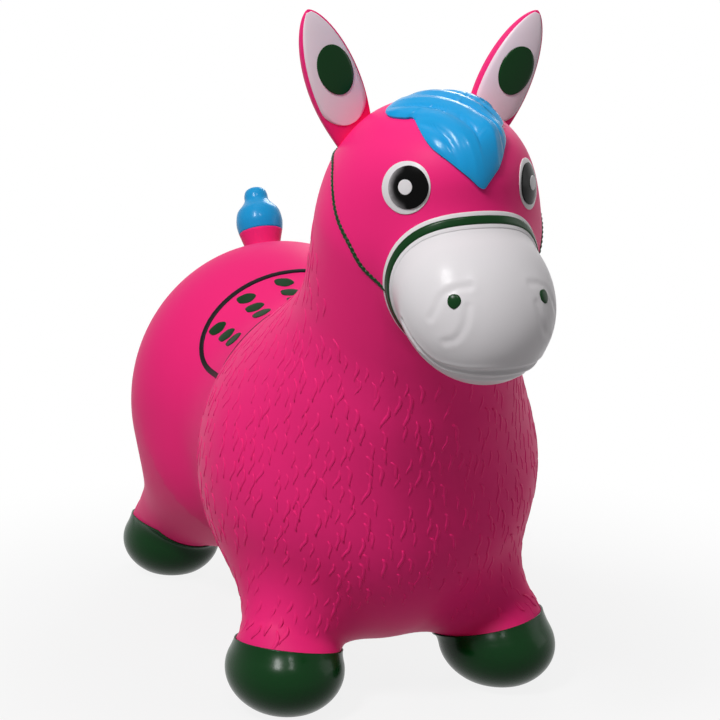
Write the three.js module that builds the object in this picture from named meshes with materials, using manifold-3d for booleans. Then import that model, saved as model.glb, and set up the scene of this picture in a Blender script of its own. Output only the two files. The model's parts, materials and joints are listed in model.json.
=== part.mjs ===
// Bouncy horse hopper: a hollow inflated vinyl horse that a child sits on and bounces along.
// Millimetres, +Z up, the horse looks along -Y and its left side is +X. It stands on the floor z = 0.
import * as THREE from "three";
import { mergeVertices } from "three/addons/utils/BufferGeometryUtils.js";
import Module from "manifold-3d";

// Vinyl skin, and the thin layers printed or glued on it
const wall = 2.2;
const jointGap = 0.3;
const printGap = 0.6;
const printThickness = 0.9;

// Barrel: a chest and a rump, drawn together at the waist where the rider sits
const chestHalfWidth = 128;
const chestHalfLength = 116;
const chestHalfHeight = 132;
const chestHeight = 171;
const barrelSpan = 226;
const rumpHalfWidth = 131;
const rumpHalfLength = 96;
const rumpHalfHeight = 134;
const rumpHeight = 177;
const waistHalfWidth = 97;
const waistHalfHeight = 106;
const waistHeight = 160;
const waistBlend = 60;

// Neck, from the front of the chest up to the poll
const neckBaseAhead = 71;
const neckBaseAboveChest = 93;
const neckBaseRadius = 78;
const neckReach = 44;
const neckRise = 95;
const neckTopRadius = 79;
const neckBlend = 58;
const neckCutRise = 16;
const neckLength = 38;

// Head and muzzle
const headAhead = 12;
const headAboveNeck = 39;
const headHalfWidth = 61;
const headHalfLength = 80;
const headHalfHeight = 53;
const headBlend = 22;
const muzzleAhead = 72;
const muzzleBelowHead = 74;
const muzzleHalfWidth = 53;
const muzzleHalfLength = 60;
const muzzleHalfDepth = 43;
const muzzlePitch = 51;

// Noseband, where the white muzzle starts, and the headstall that holds it
const bandRise = 4.5;
const bandWidth = 7;
const bandThickness = 2;
const bandOpening = 62;
const strapWidth = 5;

// Legs and hooves
const hoofHalfWidth = 43;
const hoofHalfLength = 51;
const hoofHalfHeight = 34;
const soleFlat = 4;
const hoofPaintHeight = 48;
const hoofPaintSlope = 0.19;
const ankleRadius = 34;
const legBlend = 26;
const hoofBlend = 8;
const legCutHeight = 102;
const legCutMargin = 14;
const hoofCutMargin = 5;
const frontHoofOut = 86;
const frontHoofAhead = 53;
const frontHipOut = 53;
const frontHipAhead = 19;
const frontHipHeight = 99;
const frontHipRadius = 50;
const rearHoofOut = 84;
const rearHoofBehindRump = 75;
const rearHipOut = 55;
const rearHipAheadOfRump = 22;
const rearHipHeight = 124;
const rearHipRadius = 63;

// Ears
const earLength = 102;
const earRootHalfWidth = 12;
const earHalfWidth = 19;
const earHalfThickness = 12;
const earOut = 44;
const earBehindHead = 29;
const earAboveHead = 30;
const earLeanOut = 23.5;
const earLeanAhead = 6;
const earRootHeight = 24;
const earRim = 1.5;
const earSpotHalfLength = 17.5;
const earSpotHalfWidth = 12.5;
const earSpotUp = 58;
const earWidestShare = 0.44;
const earTipPoint = 0.64;
const earBackSquareness = 0.62;
const earTipShare = 0.985;
const earFrontFlatness = 0.15;

// Forelock between the ears
const forelockCrown = 8;
const forelockEdgeThickness = 2.5;
const forelockHalfWidth = 36;
const forelockTipAngle = 88;
const forelockPollAngle = -4;

// Tail
const tailLean = 22;
const tailTilt = 25;
const tailHeight = 62.5;
const tailRootHeight = 10;
const tailRootRadius = 15.5;
const tailBulbRadius = 20.6;
const tailBulbHeight = 31;
const tailPaintHeight = 23;
const tailNeckRadius = 11;
const tailNeckHeight = 49;
const tailKnobRadius = 10.4;

// Eyes and nostrils
const eyeRadius = 17.5;
const pupilRadius = 14.5;
const glintRadius = 4.8;
const eyeAheadOfHead = 61;
const eyeBelowHead = 4;
const nostrilRadius = 4.3;
const nostrilOut = 31;
const nostrilAboveMuzzle = 5;

// Saddle print: an outline round the seat with rows of spots inside. Angles are measured from straight up about
// a line along the barrel.
const saddleAxisHeight = 180;
const saddleHalfAngle = 66;
const saddleHalfLength = 56;
const saddleCorner = 3.5;
const saddleLine = 5;
const spotHalfLength = 7;
const spotHalfWidth = 5.5;
const spotRows = 2;
const spotRowPitch = 13;
const spotsAcross = 6;
const spotPitchAngle = 19;
const spotInset = 11;

// Inflation valve on the back of the rump
const valveAboveRump = 24;
const valveFlangeRadius = 13;
const valveFlangeThickness = 1.6;
const valveCollarRadius = 9;
const valveDepth = 11;
const plugStemRadius = 6;
const plugHeadRadius = 10;
const plugHeadThickness = 2.4;
const runningGap = 0.35;

// Mesh fineness
const barrelCell = 46;
const limbCell = 42;
const relaxRounds = 4;
const bandSteps = 28;

const wasm = await Module();
wasm.setup();

const radians = THREE.MathUtils.degToRad;
const vec = (x, y, z) => new THREE.Vector3(x, y, z);

// Places of the main forms, each from the one that carries it. The chest centre is at y = 0.
const chest = vec(0, 0, chestHeight);
const rump = vec(0, barrelSpan, rumpHeight);
const waistY = barrelSpan / 2;
const neckBase = vec(0, -neckBaseAhead, chestHeight + neckBaseAboveChest);
const neckTop = vec(0, neckBase.y - neckReach, neckBase.z + neckRise);
const head = vec(0, neckTop.y - headAhead, neckTop.z + headAboveNeck);
const muzzle = vec(0, head.y - muzzleAhead, head.z - muzzleBelowHead);
const hoofCentreHeight = hoofHalfHeight - soleFlat;
const frontHoof = vec(frontHoofOut, -frontHoofAhead, hoofCentreHeight);
const frontHip = vec(frontHipOut, -frontHipAhead, frontHipHeight);
const rearHoof = vec(rearHoofOut, rump.y + rearHoofBehindRump, hoofCentreHeight);
const rearHip = vec(rearHipOut, rump.y - rearHipAheadOfRump, rearHipHeight);

// Distance-like fields: negative inside
function smoothUnion(a, b, blend) {
  const h = Math.max(blend - Math.abs(a - b), 0) / blend;
  return Math.min(a, b) - (h * h * blend) / 4;
}

function ellipsoid(x, y, z, rx, ry, rz) {
  const k0 = Math.hypot(x / rx, y / ry, z / rz);
  const k1 = Math.hypot(x / (rx * rx), y / (ry * ry), z / (rz * rz));
  return k1 < 1e-9 ? -Math.min(rx, ry, rz) : (k0 * (k0 - 1)) / k1;
}

function taper(x, y, z, from, to, fromRadius, toRadius) {
  const dx = to.x - from.x;
  const dy = to.y - from.y;
  const dz = to.z - from.z;
  const along = (x - from.x) * dx + (y - from.y) * dy + (z - from.z) * dz;
  const t = THREE.MathUtils.clamp(along / (dx * dx + dy * dy + dz * dz), 0, 1);
  const away = Math.hypot(x - from.x - dx * t, y - from.y - dy * t, z - from.z - dz * t);
  return away - fromRadius - (toRadius - fromRadius) * t;
}

const ankleOf = (hoof) => vec(hoof.x, hoof.y, hoofPaintHeight);
const frontAnkle = ankleOf(frontHoof);
const rearAnkle = ankleOf(rearHoof);
const pitchCos = Math.cos(radians(muzzlePitch));
const pitchSin = Math.sin(radians(muzzlePitch));

function noseField(x, y, z) {
  const dy = y - muzzle.y;
  const dz = z - muzzle.z;
  const along = dy * pitchCos + dz * pitchSin;
  const across = dz * pitchCos - dy * pitchSin;
  return ellipsoid(x, along, across, muzzleHalfWidth, muzzleHalfLength, muzzleHalfDepth);
}

// The whole blown skin, the same on both sides
function skinField(side, y, z) {
  const x = Math.abs(side);
  const chestPart = ellipsoid(x, y, z - chest.z, chestHalfWidth, chestHalfLength, chestHalfHeight);
  const rumpPart = ellipsoid(x, y - rump.y, z - rump.z, rumpHalfWidth, rumpHalfLength, rumpHalfHeight);
  const pastEnds = Math.max(-y, y - rump.y, 0);
  const waistPart = ellipsoid(x, pastEnds, z - waistHeight, waistHalfWidth, waistHalfWidth, waistHalfHeight);
  let body = smoothUnion(smoothUnion(chestPart, rumpPart, waistBlend), waistPart, waistBlend);
  body = smoothUnion(body, taper(x, y, z, neckBase, neckTop, neckBaseRadius, neckTopRadius), neckBlend);
  const cranium = ellipsoid(x, y - head.y, z - head.z, headHalfWidth, headHalfLength, headHalfHeight);
  const nose = noseField(x, y, z);
  body = smoothUnion(body, smoothUnion(cranium, nose, headBlend), headBlend);
  body = smoothUnion(body, taper(x, y, z, frontHip, frontAnkle, frontHipRadius, ankleRadius), legBlend);
  body = smoothUnion(body, taper(x, y, z, rearHip, rearAnkle, rearHipRadius, ankleRadius), legBlend);
  for (const hoof of [frontHoof, rearHoof]) {
    const shape = ellipsoid(x - hoof.x, y - hoof.y, z - hoof.z, hoofHalfWidth, hoofHalfLength, hoofHalfHeight);
    body = smoothUnion(body, shape, hoofBlend);
  }
  return body;
}

function gradientAt(field, p) {
  const e = 0.4;
  const g = vec(
    field(p.x + e, p.y, p.z) - field(p.x - e, p.y, p.z),
    field(p.x, p.y + e, p.z) - field(p.x, p.y - e, p.z),
    field(p.x, p.y, p.z + e) - field(p.x, p.y, p.z - e),
  );
  return g.multiplyScalar(0.5 / e);
}

// Moves a point on to the surface where the field has the given value
function settle(field, p, level = 0) {
  for (let round = 0; round < 12; round++) {
    const g = gradientAt(field, p);
    const step = (field(p.x, p.y, p.z) - level) / Math.max(g.lengthSq(), 0.04);
    p.addScaledVector(g, THREE.MathUtils.clamp(-step, -15, 15));
  }
  return p;
}

const onSkin = (p, lift = 0) => settle(skinField, p.clone(), lift);
const skinNormal = (p) => gradientAt(skinField, p).normalize();

// The first skin point met on the way out from inside the horse
function castOut(from, direction) {
  const p = from.clone();
  for (let round = 0; round < 200; round++) {
    const d = skinField(p.x, p.y, p.z);
    if (d > -0.01) break;
    p.addScaledVector(direction, Math.max(-d * 0.6, 0.01));
  }
  return onSkin(p);
}

// A field's surface as a closed mesh: tetrahedra between the centres of neighbouring cells are cut where the
// sign changes, then the points are evened out and set on the surface.
function surfaceOf(field, low, high, cell) {
  const count = vec(0, 0, 0).subVectors(high, low).divideScalar(cell);
  const half = { x: Math.ceil(high.x / cell), y: Math.ceil(count.y), z: Math.ceil(count.z) };
  const nodes = new Map();
  const points = [];
  const triangles = [];
  const cuts = new Map();
  const lattice = (i, j, k, centre) => {
    const key = `${i},${j},${k},${centre}`;
    if (!nodes.has(key)) {
      const o = centre / 2;
      const p = vec((i + o) * cell, low.y + (j + o) * cell, low.z + (k + o) * cell);
      nodes.set(key, { id: nodes.size, p, value: field(p.x, p.y, p.z) });
    }
    return nodes.get(key);
  };
  const cutBetween = (a, b) => {
    const key = a.id < b.id ? `${a.id}:${b.id}` : `${b.id}:${a.id}`;
    if (!cuts.has(key)) {
      const t = THREE.MathUtils.clamp(a.value / (a.value - b.value), 0.12, 0.88);
      cuts.set(key, points.length);
      points.push(a.p.clone().lerp(b.p, t));
    }
    return cuts.get(key);
  };
  const addTriangle = (a, b, c, outward) => {
    const normal = points[b].clone().sub(points[a]).cross(points[c].clone().sub(points[a]));
    triangles.push(normal.dot(outward) > 0 ? [a, b, c] : [a, c, b]);
  };
  const cutTetrahedron = (corners) => {
    const inside = corners.filter((c) => c.value < 0);
    const outside = corners.filter((c) => c.value >= 0);
    if (!inside.length || !outside.length) return;
    const outward = vec(0, 0, 0);
    for (const c of outside) outward.addScaledVector(c.p, 1 / outside.length);
    for (const c of inside) outward.addScaledVector(c.p, -1 / inside.length);
    if (inside.length === 2) {
      const [a, b] = inside;
      const [c, d] = outside;
      const ring = [cutBetween(a, c), cutBetween(a, d), cutBetween(b, d), cutBetween(b, c)];
      addTriangle(ring[0], ring[1], ring[2], outward);
      addTriangle(ring[0], ring[2], ring[3], outward);
      return;
    }
    const [lone] = inside.length === 1 ? inside : outside;
    const others = corners.filter((c) => c !== lone);
    const [a, b, c] = others.map((other) => cutBetween(lone, other));
    addTriangle(a, b, c, outward);
  };
  const steps = [[1, 0, 0], [0, 1, 0], [0, 0, 1]];
  for (let i = -half.x - 1; i <= half.x; i++)
    for (let j = -1; j <= half.y; j++)
      for (let k = -1; k <= half.z; k++)
        for (const [axis, step] of steps.entries()) {
          const near = lattice(i, j, k, 1);
          const far = lattice(i + step[0], j + step[1], k + step[2], 1);
          const sides = steps.filter((_, other) => other !== axis);
          const corner = (u, v) => {
            const at = [i, j, k].map((c, n) => c + step[n] + u * sides[0][n] + v * sides[1][n]);
            return lattice(at[0], at[1], at[2], 0);
          };
          const ring = [corner(0, 0), corner(1, 0), corner(1, 1), corner(0, 1)];
          ring.forEach((c, n) => cutTetrahedron([near, far, c, ring[(n + 1) % 4]]));
        }
  for (const p of points) settle(field, p);
  relax(field, points, triangles);
  return { points, triangles };
}

function relax(field, points, triangles) {
  for (let round = 0; round < relaxRounds; round++) {
    const sums = points.map(() => vec(0, 0, 0));
    const counts = new Float64Array(points.length);
    for (const t of triangles)
      for (let n = 0; n < 3; n++) {
        sums[t[n]].add(points[t[(n + 1) % 3]]);
        counts[t[n]]++;
      }
    points.forEach((p, n) => settle(field, p.lerp(sums[n].divideScalar(counts[n]), 0.7)));
  }
}

// Solids: a closed mesh, its faces turned outwards, becomes a body that can be joined and cut
function solidFrom(points, triangles) {
  const corner = (t, n) => points[t[n]];
  const volume = triangles.reduce((sum, t) => sum + corner(t, 0).dot(corner(t, 1).clone().cross(corner(t, 2))), 0);
  const outward = volume > 0 ? triangles : triangles.map(([a, b, c]) => [a, c, b]);
  const vertProperties = new Float32Array(points.flatMap((p) => [p.x, p.y, p.z]));
  const triVerts = new Uint32Array(outward.flat());
  return new wasm.Manifold(new wasm.Mesh({ numProp: 3, vertProperties, triVerts }));
}

function solidOf(geometry) {
  const bare = geometry.clone();
  for (const name of Object.keys(bare.attributes)) if (name !== "position") bare.deleteAttribute(name);
  const merged = mergeVertices(bare, 1e-3);
  const vertProperties = merged.attributes.position.array;
  const triVerts = new Uint32Array(merged.index.array);
  return new wasm.Manifold(new wasm.Mesh({ numProp: 3, vertProperties, triVerts }));
}

function geometryOf(solid) {
  const mesh = solid.getMesh();
  const positions = new Float32Array(mesh.numVert * 3);
  for (let v = 0; v < mesh.numVert; v++) {
    const start = v * mesh.numProp;
    positions.set(mesh.vertProperties.subarray(start, start + 3), v * 3);
  }
  const geometry = new THREE.BufferGeometry();
  geometry.setAttribute("position", new THREE.BufferAttribute(positions, 3));
  geometry.setIndex(new THREE.BufferAttribute(new Uint32Array(mesh.triVerts), 1));
  return geometry;
}

// A box far larger than the horse, with one face through a point and lying ahead of it
const farSize = 4 * (barrelSpan + chestHalfLength + rumpHalfLength + neckRise);
function spaceBeyond(point, normal) {
  const turn = new THREE.Quaternion().setFromUnitVectors(vec(0, 0, 1), normal);
  const box = new THREE.BoxGeometry(farSize, farSize, farSize).translate(0, 0, farSize / 2);
  return solidOf(box.applyQuaternion(turn).translate(point.x, point.y, point.z));
}

// The two sides of a plane cut, with the joint gap between them
function splitAt(solid, point, normal) {
  const shift = normal.clone().multiplyScalar(jointGap / 2);
  const ahead = solid.intersect(spaceBeyond(point.clone().add(shift), normal));
  const behind = solid.intersect(spaceBeyond(point.clone().sub(shift), normal.clone().negate()));
  return [ahead, behind];
}

// The blown skin, its hollow, and the pieces that its paint edges and flexing roots divide it into
const reach = 40;
const lowCorner = vec(
  -Math.max(chestHalfWidth, rumpHalfWidth) - reach,
  muzzle.y - muzzleHalfLength - reach,
  -reach,
);
const highCorner = vec(
  Math.max(chestHalfWidth, rumpHalfWidth, frontHoofOut + hoofHalfWidth) + reach,
  Math.max(rump.y + rumpHalfLength, rearHoof.y + hoofHalfLength) + reach,
  head.z + headHalfHeight + reach,
);
const floorCut = spaceBeyond(vec(0, 0, 0), vec(0, 0, 1));
const hollowField = (x, y, z) => Math.max(skinField(x, y, z), -z) + wall;

// The skin at one fineness: its hollow shell, and the solid grown by the joint gap that trims what stands on it
function skinAt(cell) {
  const { points, triangles } = surfaceOf(skinField, lowCorner, highCorner, cell);
  const inside = points.map((p) => settle(hollowField, p.clone()));
  const outside = points.map((p) => p.clone().addScaledVector(skinNormal(p), jointGap));
  const shell = solidFrom(points, triangles).intersect(floorCut).subtract(solidFrom(inside, triangles));
  return { shell, grown: solidFrom(outside, triangles) };
}

const barrelSkin = skinAt(barrelCell);
const limbSkin = skinAt(limbCell);

// The white muzzle is what lies inside its own form grown to the crease round it
function noseSpace(rise) {
  const form = new THREE.SphereGeometry(1, 28, 18);
  form.scale(muzzleHalfWidth + rise, muzzleHalfLength + rise, muzzleHalfDepth + rise);
  return solidOf(form.rotateX(radians(muzzlePitch)).translate(muzzle.x, muzzle.y, muzzle.z));
}

const muzzleSolid = limbSkin.shell.intersect(noseSpace(bandRise - jointGap / 2));
const noNose = limbSkin.shell.subtract(noseSpace(bandRise + jointGap / 2));

const neckAxis = neckTop.clone().sub(neckBase).normalize();
const neckStart = neckBase.clone().addScaledVector(neckAxis, neckCutRise);
const neckEnd = neckStart.clone().addScaledVector(neckAxis, neckLength);
const [headSolid] = splitAt(noNose, neckEnd, neckAxis);
const [, noHead] = splitAt(barrelSkin.shell, neckEnd, neckAxis);
const [neckSolid, noNeck] = splitAt(noHead, neckStart, neckAxis);

// Each leg is cut out of the barrel by an upright drum round its hoof, and the hoof by the slanting paint edge
function drumAt(hoof, side, margin, height) {
  const drum = new THREE.CylinderGeometry(1, 1, 2 * height, 28).rotateX(Math.PI / 2);
  drum.scale(hoofHalfWidth + margin, hoofHalfLength + margin, 1);
  return solidOf(drum.translate(side * hoof.x, hoof.y, 0));
}

function hoofSpace(hoof, side, grow) {
  const paintDown = vec(side * hoofPaintSlope, 0, -1).normalize();
  const edge = vec(side * hoof.x, hoof.y, hoofPaintHeight).addScaledVector(paintDown, -grow);
  return spaceBeyond(edge, paintDown).intersect(drumAt(hoof, side, hoofCutMargin + grow, legCutHeight));
}

const legSides = [["left", 1], ["right", -1]];
const legEnds = [["front", frontHoof], ["rear", rearHoof]];
let barrelSolid = noNeck;
const legSolids = [];
for (const [end, hoof] of legEnds)
  for (const [sideName, side] of legSides) {
    const limb = limbSkin.shell.intersect(drumAt(hoof, side, legCutMargin, legCutHeight));
    barrelSolid = barrelSolid.subtract(drumAt(hoof, side, legCutMargin + jointGap, legCutHeight + jointGap));
    const hoofSolid = limb.intersect(hoofSpace(hoof, side, 0));
    const leg = limb.subtract(hoofSpace(hoof, side, jointGap));
    legSolids.push([`${end}_${sideName}`, leg, hoofSolid]);
  }

// Valve hole through the rump, square to the skin
const valvePoint = castOut(vec(0, rump.y, rump.z + valveAboveRump), vec(0, 1, 0));
const valveOut = skinNormal(valvePoint);
const valveTurn = new THREE.Quaternion().setFromUnitVectors(vec(0, 0, 1), valveOut);
const holeRadius = valveCollarRadius + jointGap;
const holeCut = new THREE.CylinderGeometry(holeRadius, holeRadius, 4 * valveDepth, 24).rotateX(Math.PI / 2);
holeCut.applyQuaternion(valveTurn).translate(valvePoint.x, valvePoint.y, valvePoint.z);
const waistForward = vec(0, -1, 0);
const [foreBarrel, hindBarrel] = splitAt(barrelSolid, vec(0, waistY, 0), waistForward);

// Finishes
const finish = (color, roughness) => new THREE.MeshStandardMaterial({ color, roughness, metalness: 0 });
const pinkVinyl = finish(0xf0408c, 0.42);
const greenPaint = finish(0x2f6040, 0.3);
const whitePaint = finish(0xefeaec, 0.28);
const bluePaint = finish(0x2fa3dc, 0.28);
const blackPaint = finish(0x191a1c, 0.3);

const horse = new THREE.Group();
function place(name, geometry, material, parent = horse) {
  const mesh = new THREE.Mesh(geometry, material);
  mesh.name = name;
  parent.add(mesh);
  return mesh;
}

place("fore_barrel", geometryOf(foreBarrel), pinkVinyl);
place("hind_barrel", geometryOf(hindBarrel.subtract(solidOf(holeCut))), pinkVinyl);
place("neck", geometryOf(neckSolid), pinkVinyl);
place("head", geometryOf(headSolid), pinkVinyl);
place("muzzle", geometryOf(muzzleSolid), whitePaint);
for (const [where, leg, hoof] of legSolids) {
  place(`${where}_leg`, geometryOf(leg), pinkVinyl);
  place(`${where}_hoof`, geometryOf(hoof), greenPaint);
}

// Rings of points, first to last, closed into a solid by a point at each end
function skinRings(rings, first, last) {
  const points = [first, ...rings.flat(), last];
  const size = rings[0].length;
  const at = (ring, n) => 1 + ring * size + (n % size);
  const triangles = [];
  for (let n = 0; n < size; n++) {
    triangles.push([0, at(0, n + 1), at(0, n)]);
    triangles.push([points.length - 1, at(rings.length - 1, n), at(rings.length - 1, n + 1)]);
    for (let ring = 0; ring + 1 < rings.length; ring++) {
      triangles.push([at(ring, n), at(ring, n + 1), at(ring + 1, n + 1)]);
      triangles.push([at(ring, n), at(ring + 1, n + 1), at(ring + 1, n)]);
    }
  }
  return solidFrom(points, triangles);
}

// A thin closed layer on the skin inside an outline given as points near it, going round anticlockwise as seen
// from outside. Its top may swell to a crown in the middle.
function printedPatch(outline, base, thickness, crown = 0, shares = [0.34, 0.7, 1]) {
  const middle = onSkin(outline.reduce((sum, p) => sum.add(p), vec(0, 0, 0)).divideScalar(outline.length));
  const layer = (share, lift) => outline.map((p) => onSkin(middle.clone().lerp(p, share), lift));
  const swell = (share) => base + thickness + crown * (1 - share ** 2);
  const under = shares.map((share) => layer(share, base));
  const over = shares.map((share) => layer(share, swell(share))).reverse();
  return skinRings([...under, ...over], onSkin(middle, base), onSkin(middle, swell(0)));
}

// A printed or stitched line along points on the skin, closed into a loop or with two ends
function printedLine(path, width, base, thickness, closed) {
  const count = path.length;
  const sections = path.map((p, n) => {
    const before = path[closed ? (n + count - 1) % count : Math.max(n - 1, 0)];
    const after = path[closed ? (n + 1) % count : Math.min(n + 1, count - 1)];
    const along = after.clone().sub(before).normalize();
    const across = skinNormal(p).cross(along).normalize();
    const edge = (share, lift) => onSkin(p.clone().addScaledVector(across, share * width), lift);
    const top = base + thickness;
    return [edge(0.5, base), edge(-0.5, base), edge(-0.5, top), edge(0.5, top)];
  });
  const points = sections.flat();
  const triangles = [];
  const spans = closed ? count : count - 1;
  for (let n = 0; n < spans; n++)
    for (let k = 0; k < 4; k++) {
      const a = n * 4 + k;
      const b = n * 4 + ((k + 1) % 4);
      const c = ((n + 1) % count) * 4 + k;
      const d = ((n + 1) % count) * 4 + ((k + 1) % 4);
      triangles.push([a, b, d], [a, d, c]);
    }
  if (!closed) {
    const end = (count - 1) * 4;
    triangles.push([0, 2, 1], [0, 3, 2], [end, end + 1, end + 2], [end, end + 2, end + 3]);
  }
  return solidFrom(points, triangles);
}

// A printed solid starts a little under the skin and is cut back where it meets it, so that it lies on it
const sink = 4;
const seatedOn = (skin, solid) => geometryOf(solid.subtract(skin.grown));

// A round outline about a skin point, with its own half-sizes along two directions on the skin
function roundOutline(middle, up, halfAcross, halfUp, count) {
  const normal = skinNormal(middle);
  const across = up.clone().cross(normal).normalize();
  const upward = normal.clone().cross(across);
  return Array.from({ length: count }, (_, n) => {
    const turn = (2 * Math.PI * n) / count;
    const p = middle.clone().addScaledVector(across, halfAcross * Math.cos(turn));
    return p.addScaledVector(upward, halfUp * Math.sin(turn));
  });
}

const upright = vec(0, 0, 1);
const discSteps = 16;
const layerRise = printThickness + jointGap;
function printedDisc(middle, radius, layer, thickness = printThickness) {
  const outline = roundOutline(middle, upright, radius, radius, discSteps);
  return geometryOf(printedPatch(outline, printGap + layer * layerRise, thickness, 0, [1]));
}

// Eyes and nostrils
for (const [sideName, side] of legSides) {
  const eyeInside = vec(0, head.y - eyeAheadOfHead, head.z - eyeBelowHead);
  const eye = castOut(eyeInside, vec(side, 0, 0));
  place(`${sideName}_eye_white`, printedDisc(eye, eyeRadius, 0), whitePaint);
  place(`${sideName}_pupil`, printedDisc(eye, pupilRadius, 1), blackPaint);
  place(`${sideName}_eye_glint`, printedDisc(eye, glintRadius, 2), whitePaint);
  const nostrilInside = vec(side * nostrilOut, muzzle.y, muzzle.z + nostrilAboveMuzzle);
  const nostril = castOut(nostrilInside, vec(0, -1, 0));
  place(`${sideName}_nostril`, printedDisc(nostril, nostrilRadius, 0), greenPaint);
}

// Noseband along the crease round the muzzle, open at the throat
const noseBack = neckTop.clone().sub(muzzle).normalize();
const noseUp = vec(0, -noseBack.z, noseBack.y);
function onCrease(turn) {
  const out = vec(Math.cos(turn), 0, 0).addScaledVector(noseUp, Math.sin(turn));
  const at = (swing) => {
    const direction = out.clone().multiplyScalar(Math.sin(swing)).addScaledVector(noseBack, -Math.cos(swing));
    return castOut(muzzle, direction);
  };
  let before = radians(30);
  let after = radians(150);
  for (let round = 0; round < 24; round++) {
    const middle = (before + after) / 2;
    const p = at(middle);
    if (noseField(p.x, p.y, p.z) < bandRise) before = middle;
    else after = middle;
  }
  return at(before);
}

const bandPath = Array.from({ length: bandSteps + 1 }, (_, n) =>
  onCrease(radians((bandOpening - 180) / 2 + ((360 - bandOpening) * n) / bandSteps)),
);
const bandSolid = printedLine(bandPath, bandWidth, -sink, sink + bandThickness, false);
place("noseband", seatedOn(limbSkin, bandSolid), greenPaint);

// Headstall: from the noseband up each cheek, behind the ear and over the poll. Its guide points are shares of
// the head's half-sizes on the cheek, and of the ear's place and the head's half-height over the crown.
const strapClear = (bandWidth + strapWidth) / 2;
const behindEar = head.y + earBehindHead + 2 * earHalfThickness + strapWidth;
const strapCheek = [[1.07, -0.41, -1.11], [1.2, -0.12, -0.45], [1.1, 0.19, 0.11]];
const strapCrown = [[1.2, 0.38], [0.5, 0.77], [0.1, 0.85]];
const strapGuide = [
  onCrease(0).add(vec(0, strapClear, 0)),
  ...strapCheek.map(([x, y, z]) =>
    vec(x * headHalfWidth, head.y + y * headHalfLength, head.z + z * headHalfHeight)),
  ...strapCrown.map(([x, z]) => vec(x * earOut, behindEar, head.z + z * headHalfHeight)),
];
for (const [sideName, side] of legSides) {
  const guide = new THREE.CatmullRomCurve3(strapGuide.map((p) => vec(side * p.x, p.y, p.z)));
  const path = guide.getSpacedPoints(16).map((p) => onSkin(p));
  const line = printedLine(path, strapWidth, -sink, sink + bandThickness, false);
  place(`${sideName}_cheek_strap`, seatedOn(limbSkin, line), greenPaint);
}

// Forelock: a lobed blue tuft from the poll to between the eyes. Each outline point is a share of its half-width
// and an angle down the forehead.
const forelockSpan = forelockTipAngle - forelockPollAngle;
const forelockEdge = [[0, 1], [0.3, 0.86], [0.62, 0.66], [0.5, 0.5], [0.78, 0.42], [0.74, 0.27], [1, 0.2], [0.9, 0.05]];
const forelockHalf = forelockEdge.map(([across, down]) => {
  const angle = radians(forelockPollAngle + down * forelockSpan);
  const direction = vec(0, -Math.sin(angle), Math.cos(angle));
  const out = vec(across * forelockHalfWidth, 0, 0).add(head);
  return castOut(out, direction);
});
const otherHalf = forelockHalf.slice(1).map((p) => vec(-p.x, p.y, p.z));
const forelockOutline = [...forelockHalf, ...otherHalf.reverse()];
const forelockSolid = printedPatch(forelockOutline, -sink, sink + forelockEdgeThickness, forelockCrown);
place("forelock", seatedOn(limbSkin, forelockSolid), bluePaint);

// Ears: leaf-shaped lofts with a white lining and a green spot on the front
const earWidthAt = (t) => {
  const opening = Math.sin((Math.min(t / earWidestShare, 1) * Math.PI) / 2);
  const closing = Math.max((t - earWidestShare) / (1 - earWidestShare), 0);
  return THREE.MathUtils.lerp(earRootHalfWidth, earHalfWidth, opening) * Math.max(1 - closing ** 2, 0) ** earTipPoint;
};
const earDepthAt = (t) => (earHalfThickness * earWidthAt(t)) / earHalfWidth;
const earSection = (t, count = 16) => {
  const width = earWidthAt(t);
  const depth = earDepthAt(t);
  return Array.from({ length: count }, (_, n) => {
    const turn = (2 * Math.PI * n) / count;
    const [c, s] = [Math.cos(turn), Math.sin(turn)];
    if (s < 0) return vec(width * c, earFrontFlatness * depth * s, t * earLength);
    const squarer = (value) => Math.sign(value) * Math.abs(value) ** earBackSquareness;
    return vec(width * squarer(c), depth * squarer(s), t * earLength);
  });
};

function earPiece(fromHeight, toHeight, tipped) {
  const levels = 7;
  const steps = Array.from({ length: levels + 1 }, (_, n) => THREE.MathUtils.lerp(fromHeight, toHeight, n / levels));
  const shares = steps.map((z) => Math.min(z / earLength, earTipShare));
  const rings = shares.map((t) => earSection(t));
  const last = vec(0, 0, tipped ? earLength : toHeight);
  return skinRings(rings, vec(0, 0, fromHeight), last);
}

// A flat layer on the front of the ear, inside a half-width that follows the ear or an oval
function earLayer(halfWidthAt, from, to, front, thickness) {
  const steps = 12;
  const rise = (n) => THREE.MathUtils.lerp(from, to, (1 - Math.cos((Math.PI * n) / steps)) / 2);
  const right = Array.from({ length: steps + 1 }, (_, n) => vec(halfWidthAt(rise(n)), 0, rise(n)));
  const left = right.slice(1, -1).reverse().map((p) => vec(-p.x, 0, p.z));
  const shape = new THREE.Shape([...right, ...left].map((p) => new THREE.Vector2(p.x, p.z)));
  const slab = new THREE.ExtrudeGeometry(shape, { depth: thickness, bevelEnabled: false, steps: 1 });
  return slab.rotateX(Math.PI / 2).translate(0, -front, 0);
}

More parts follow.
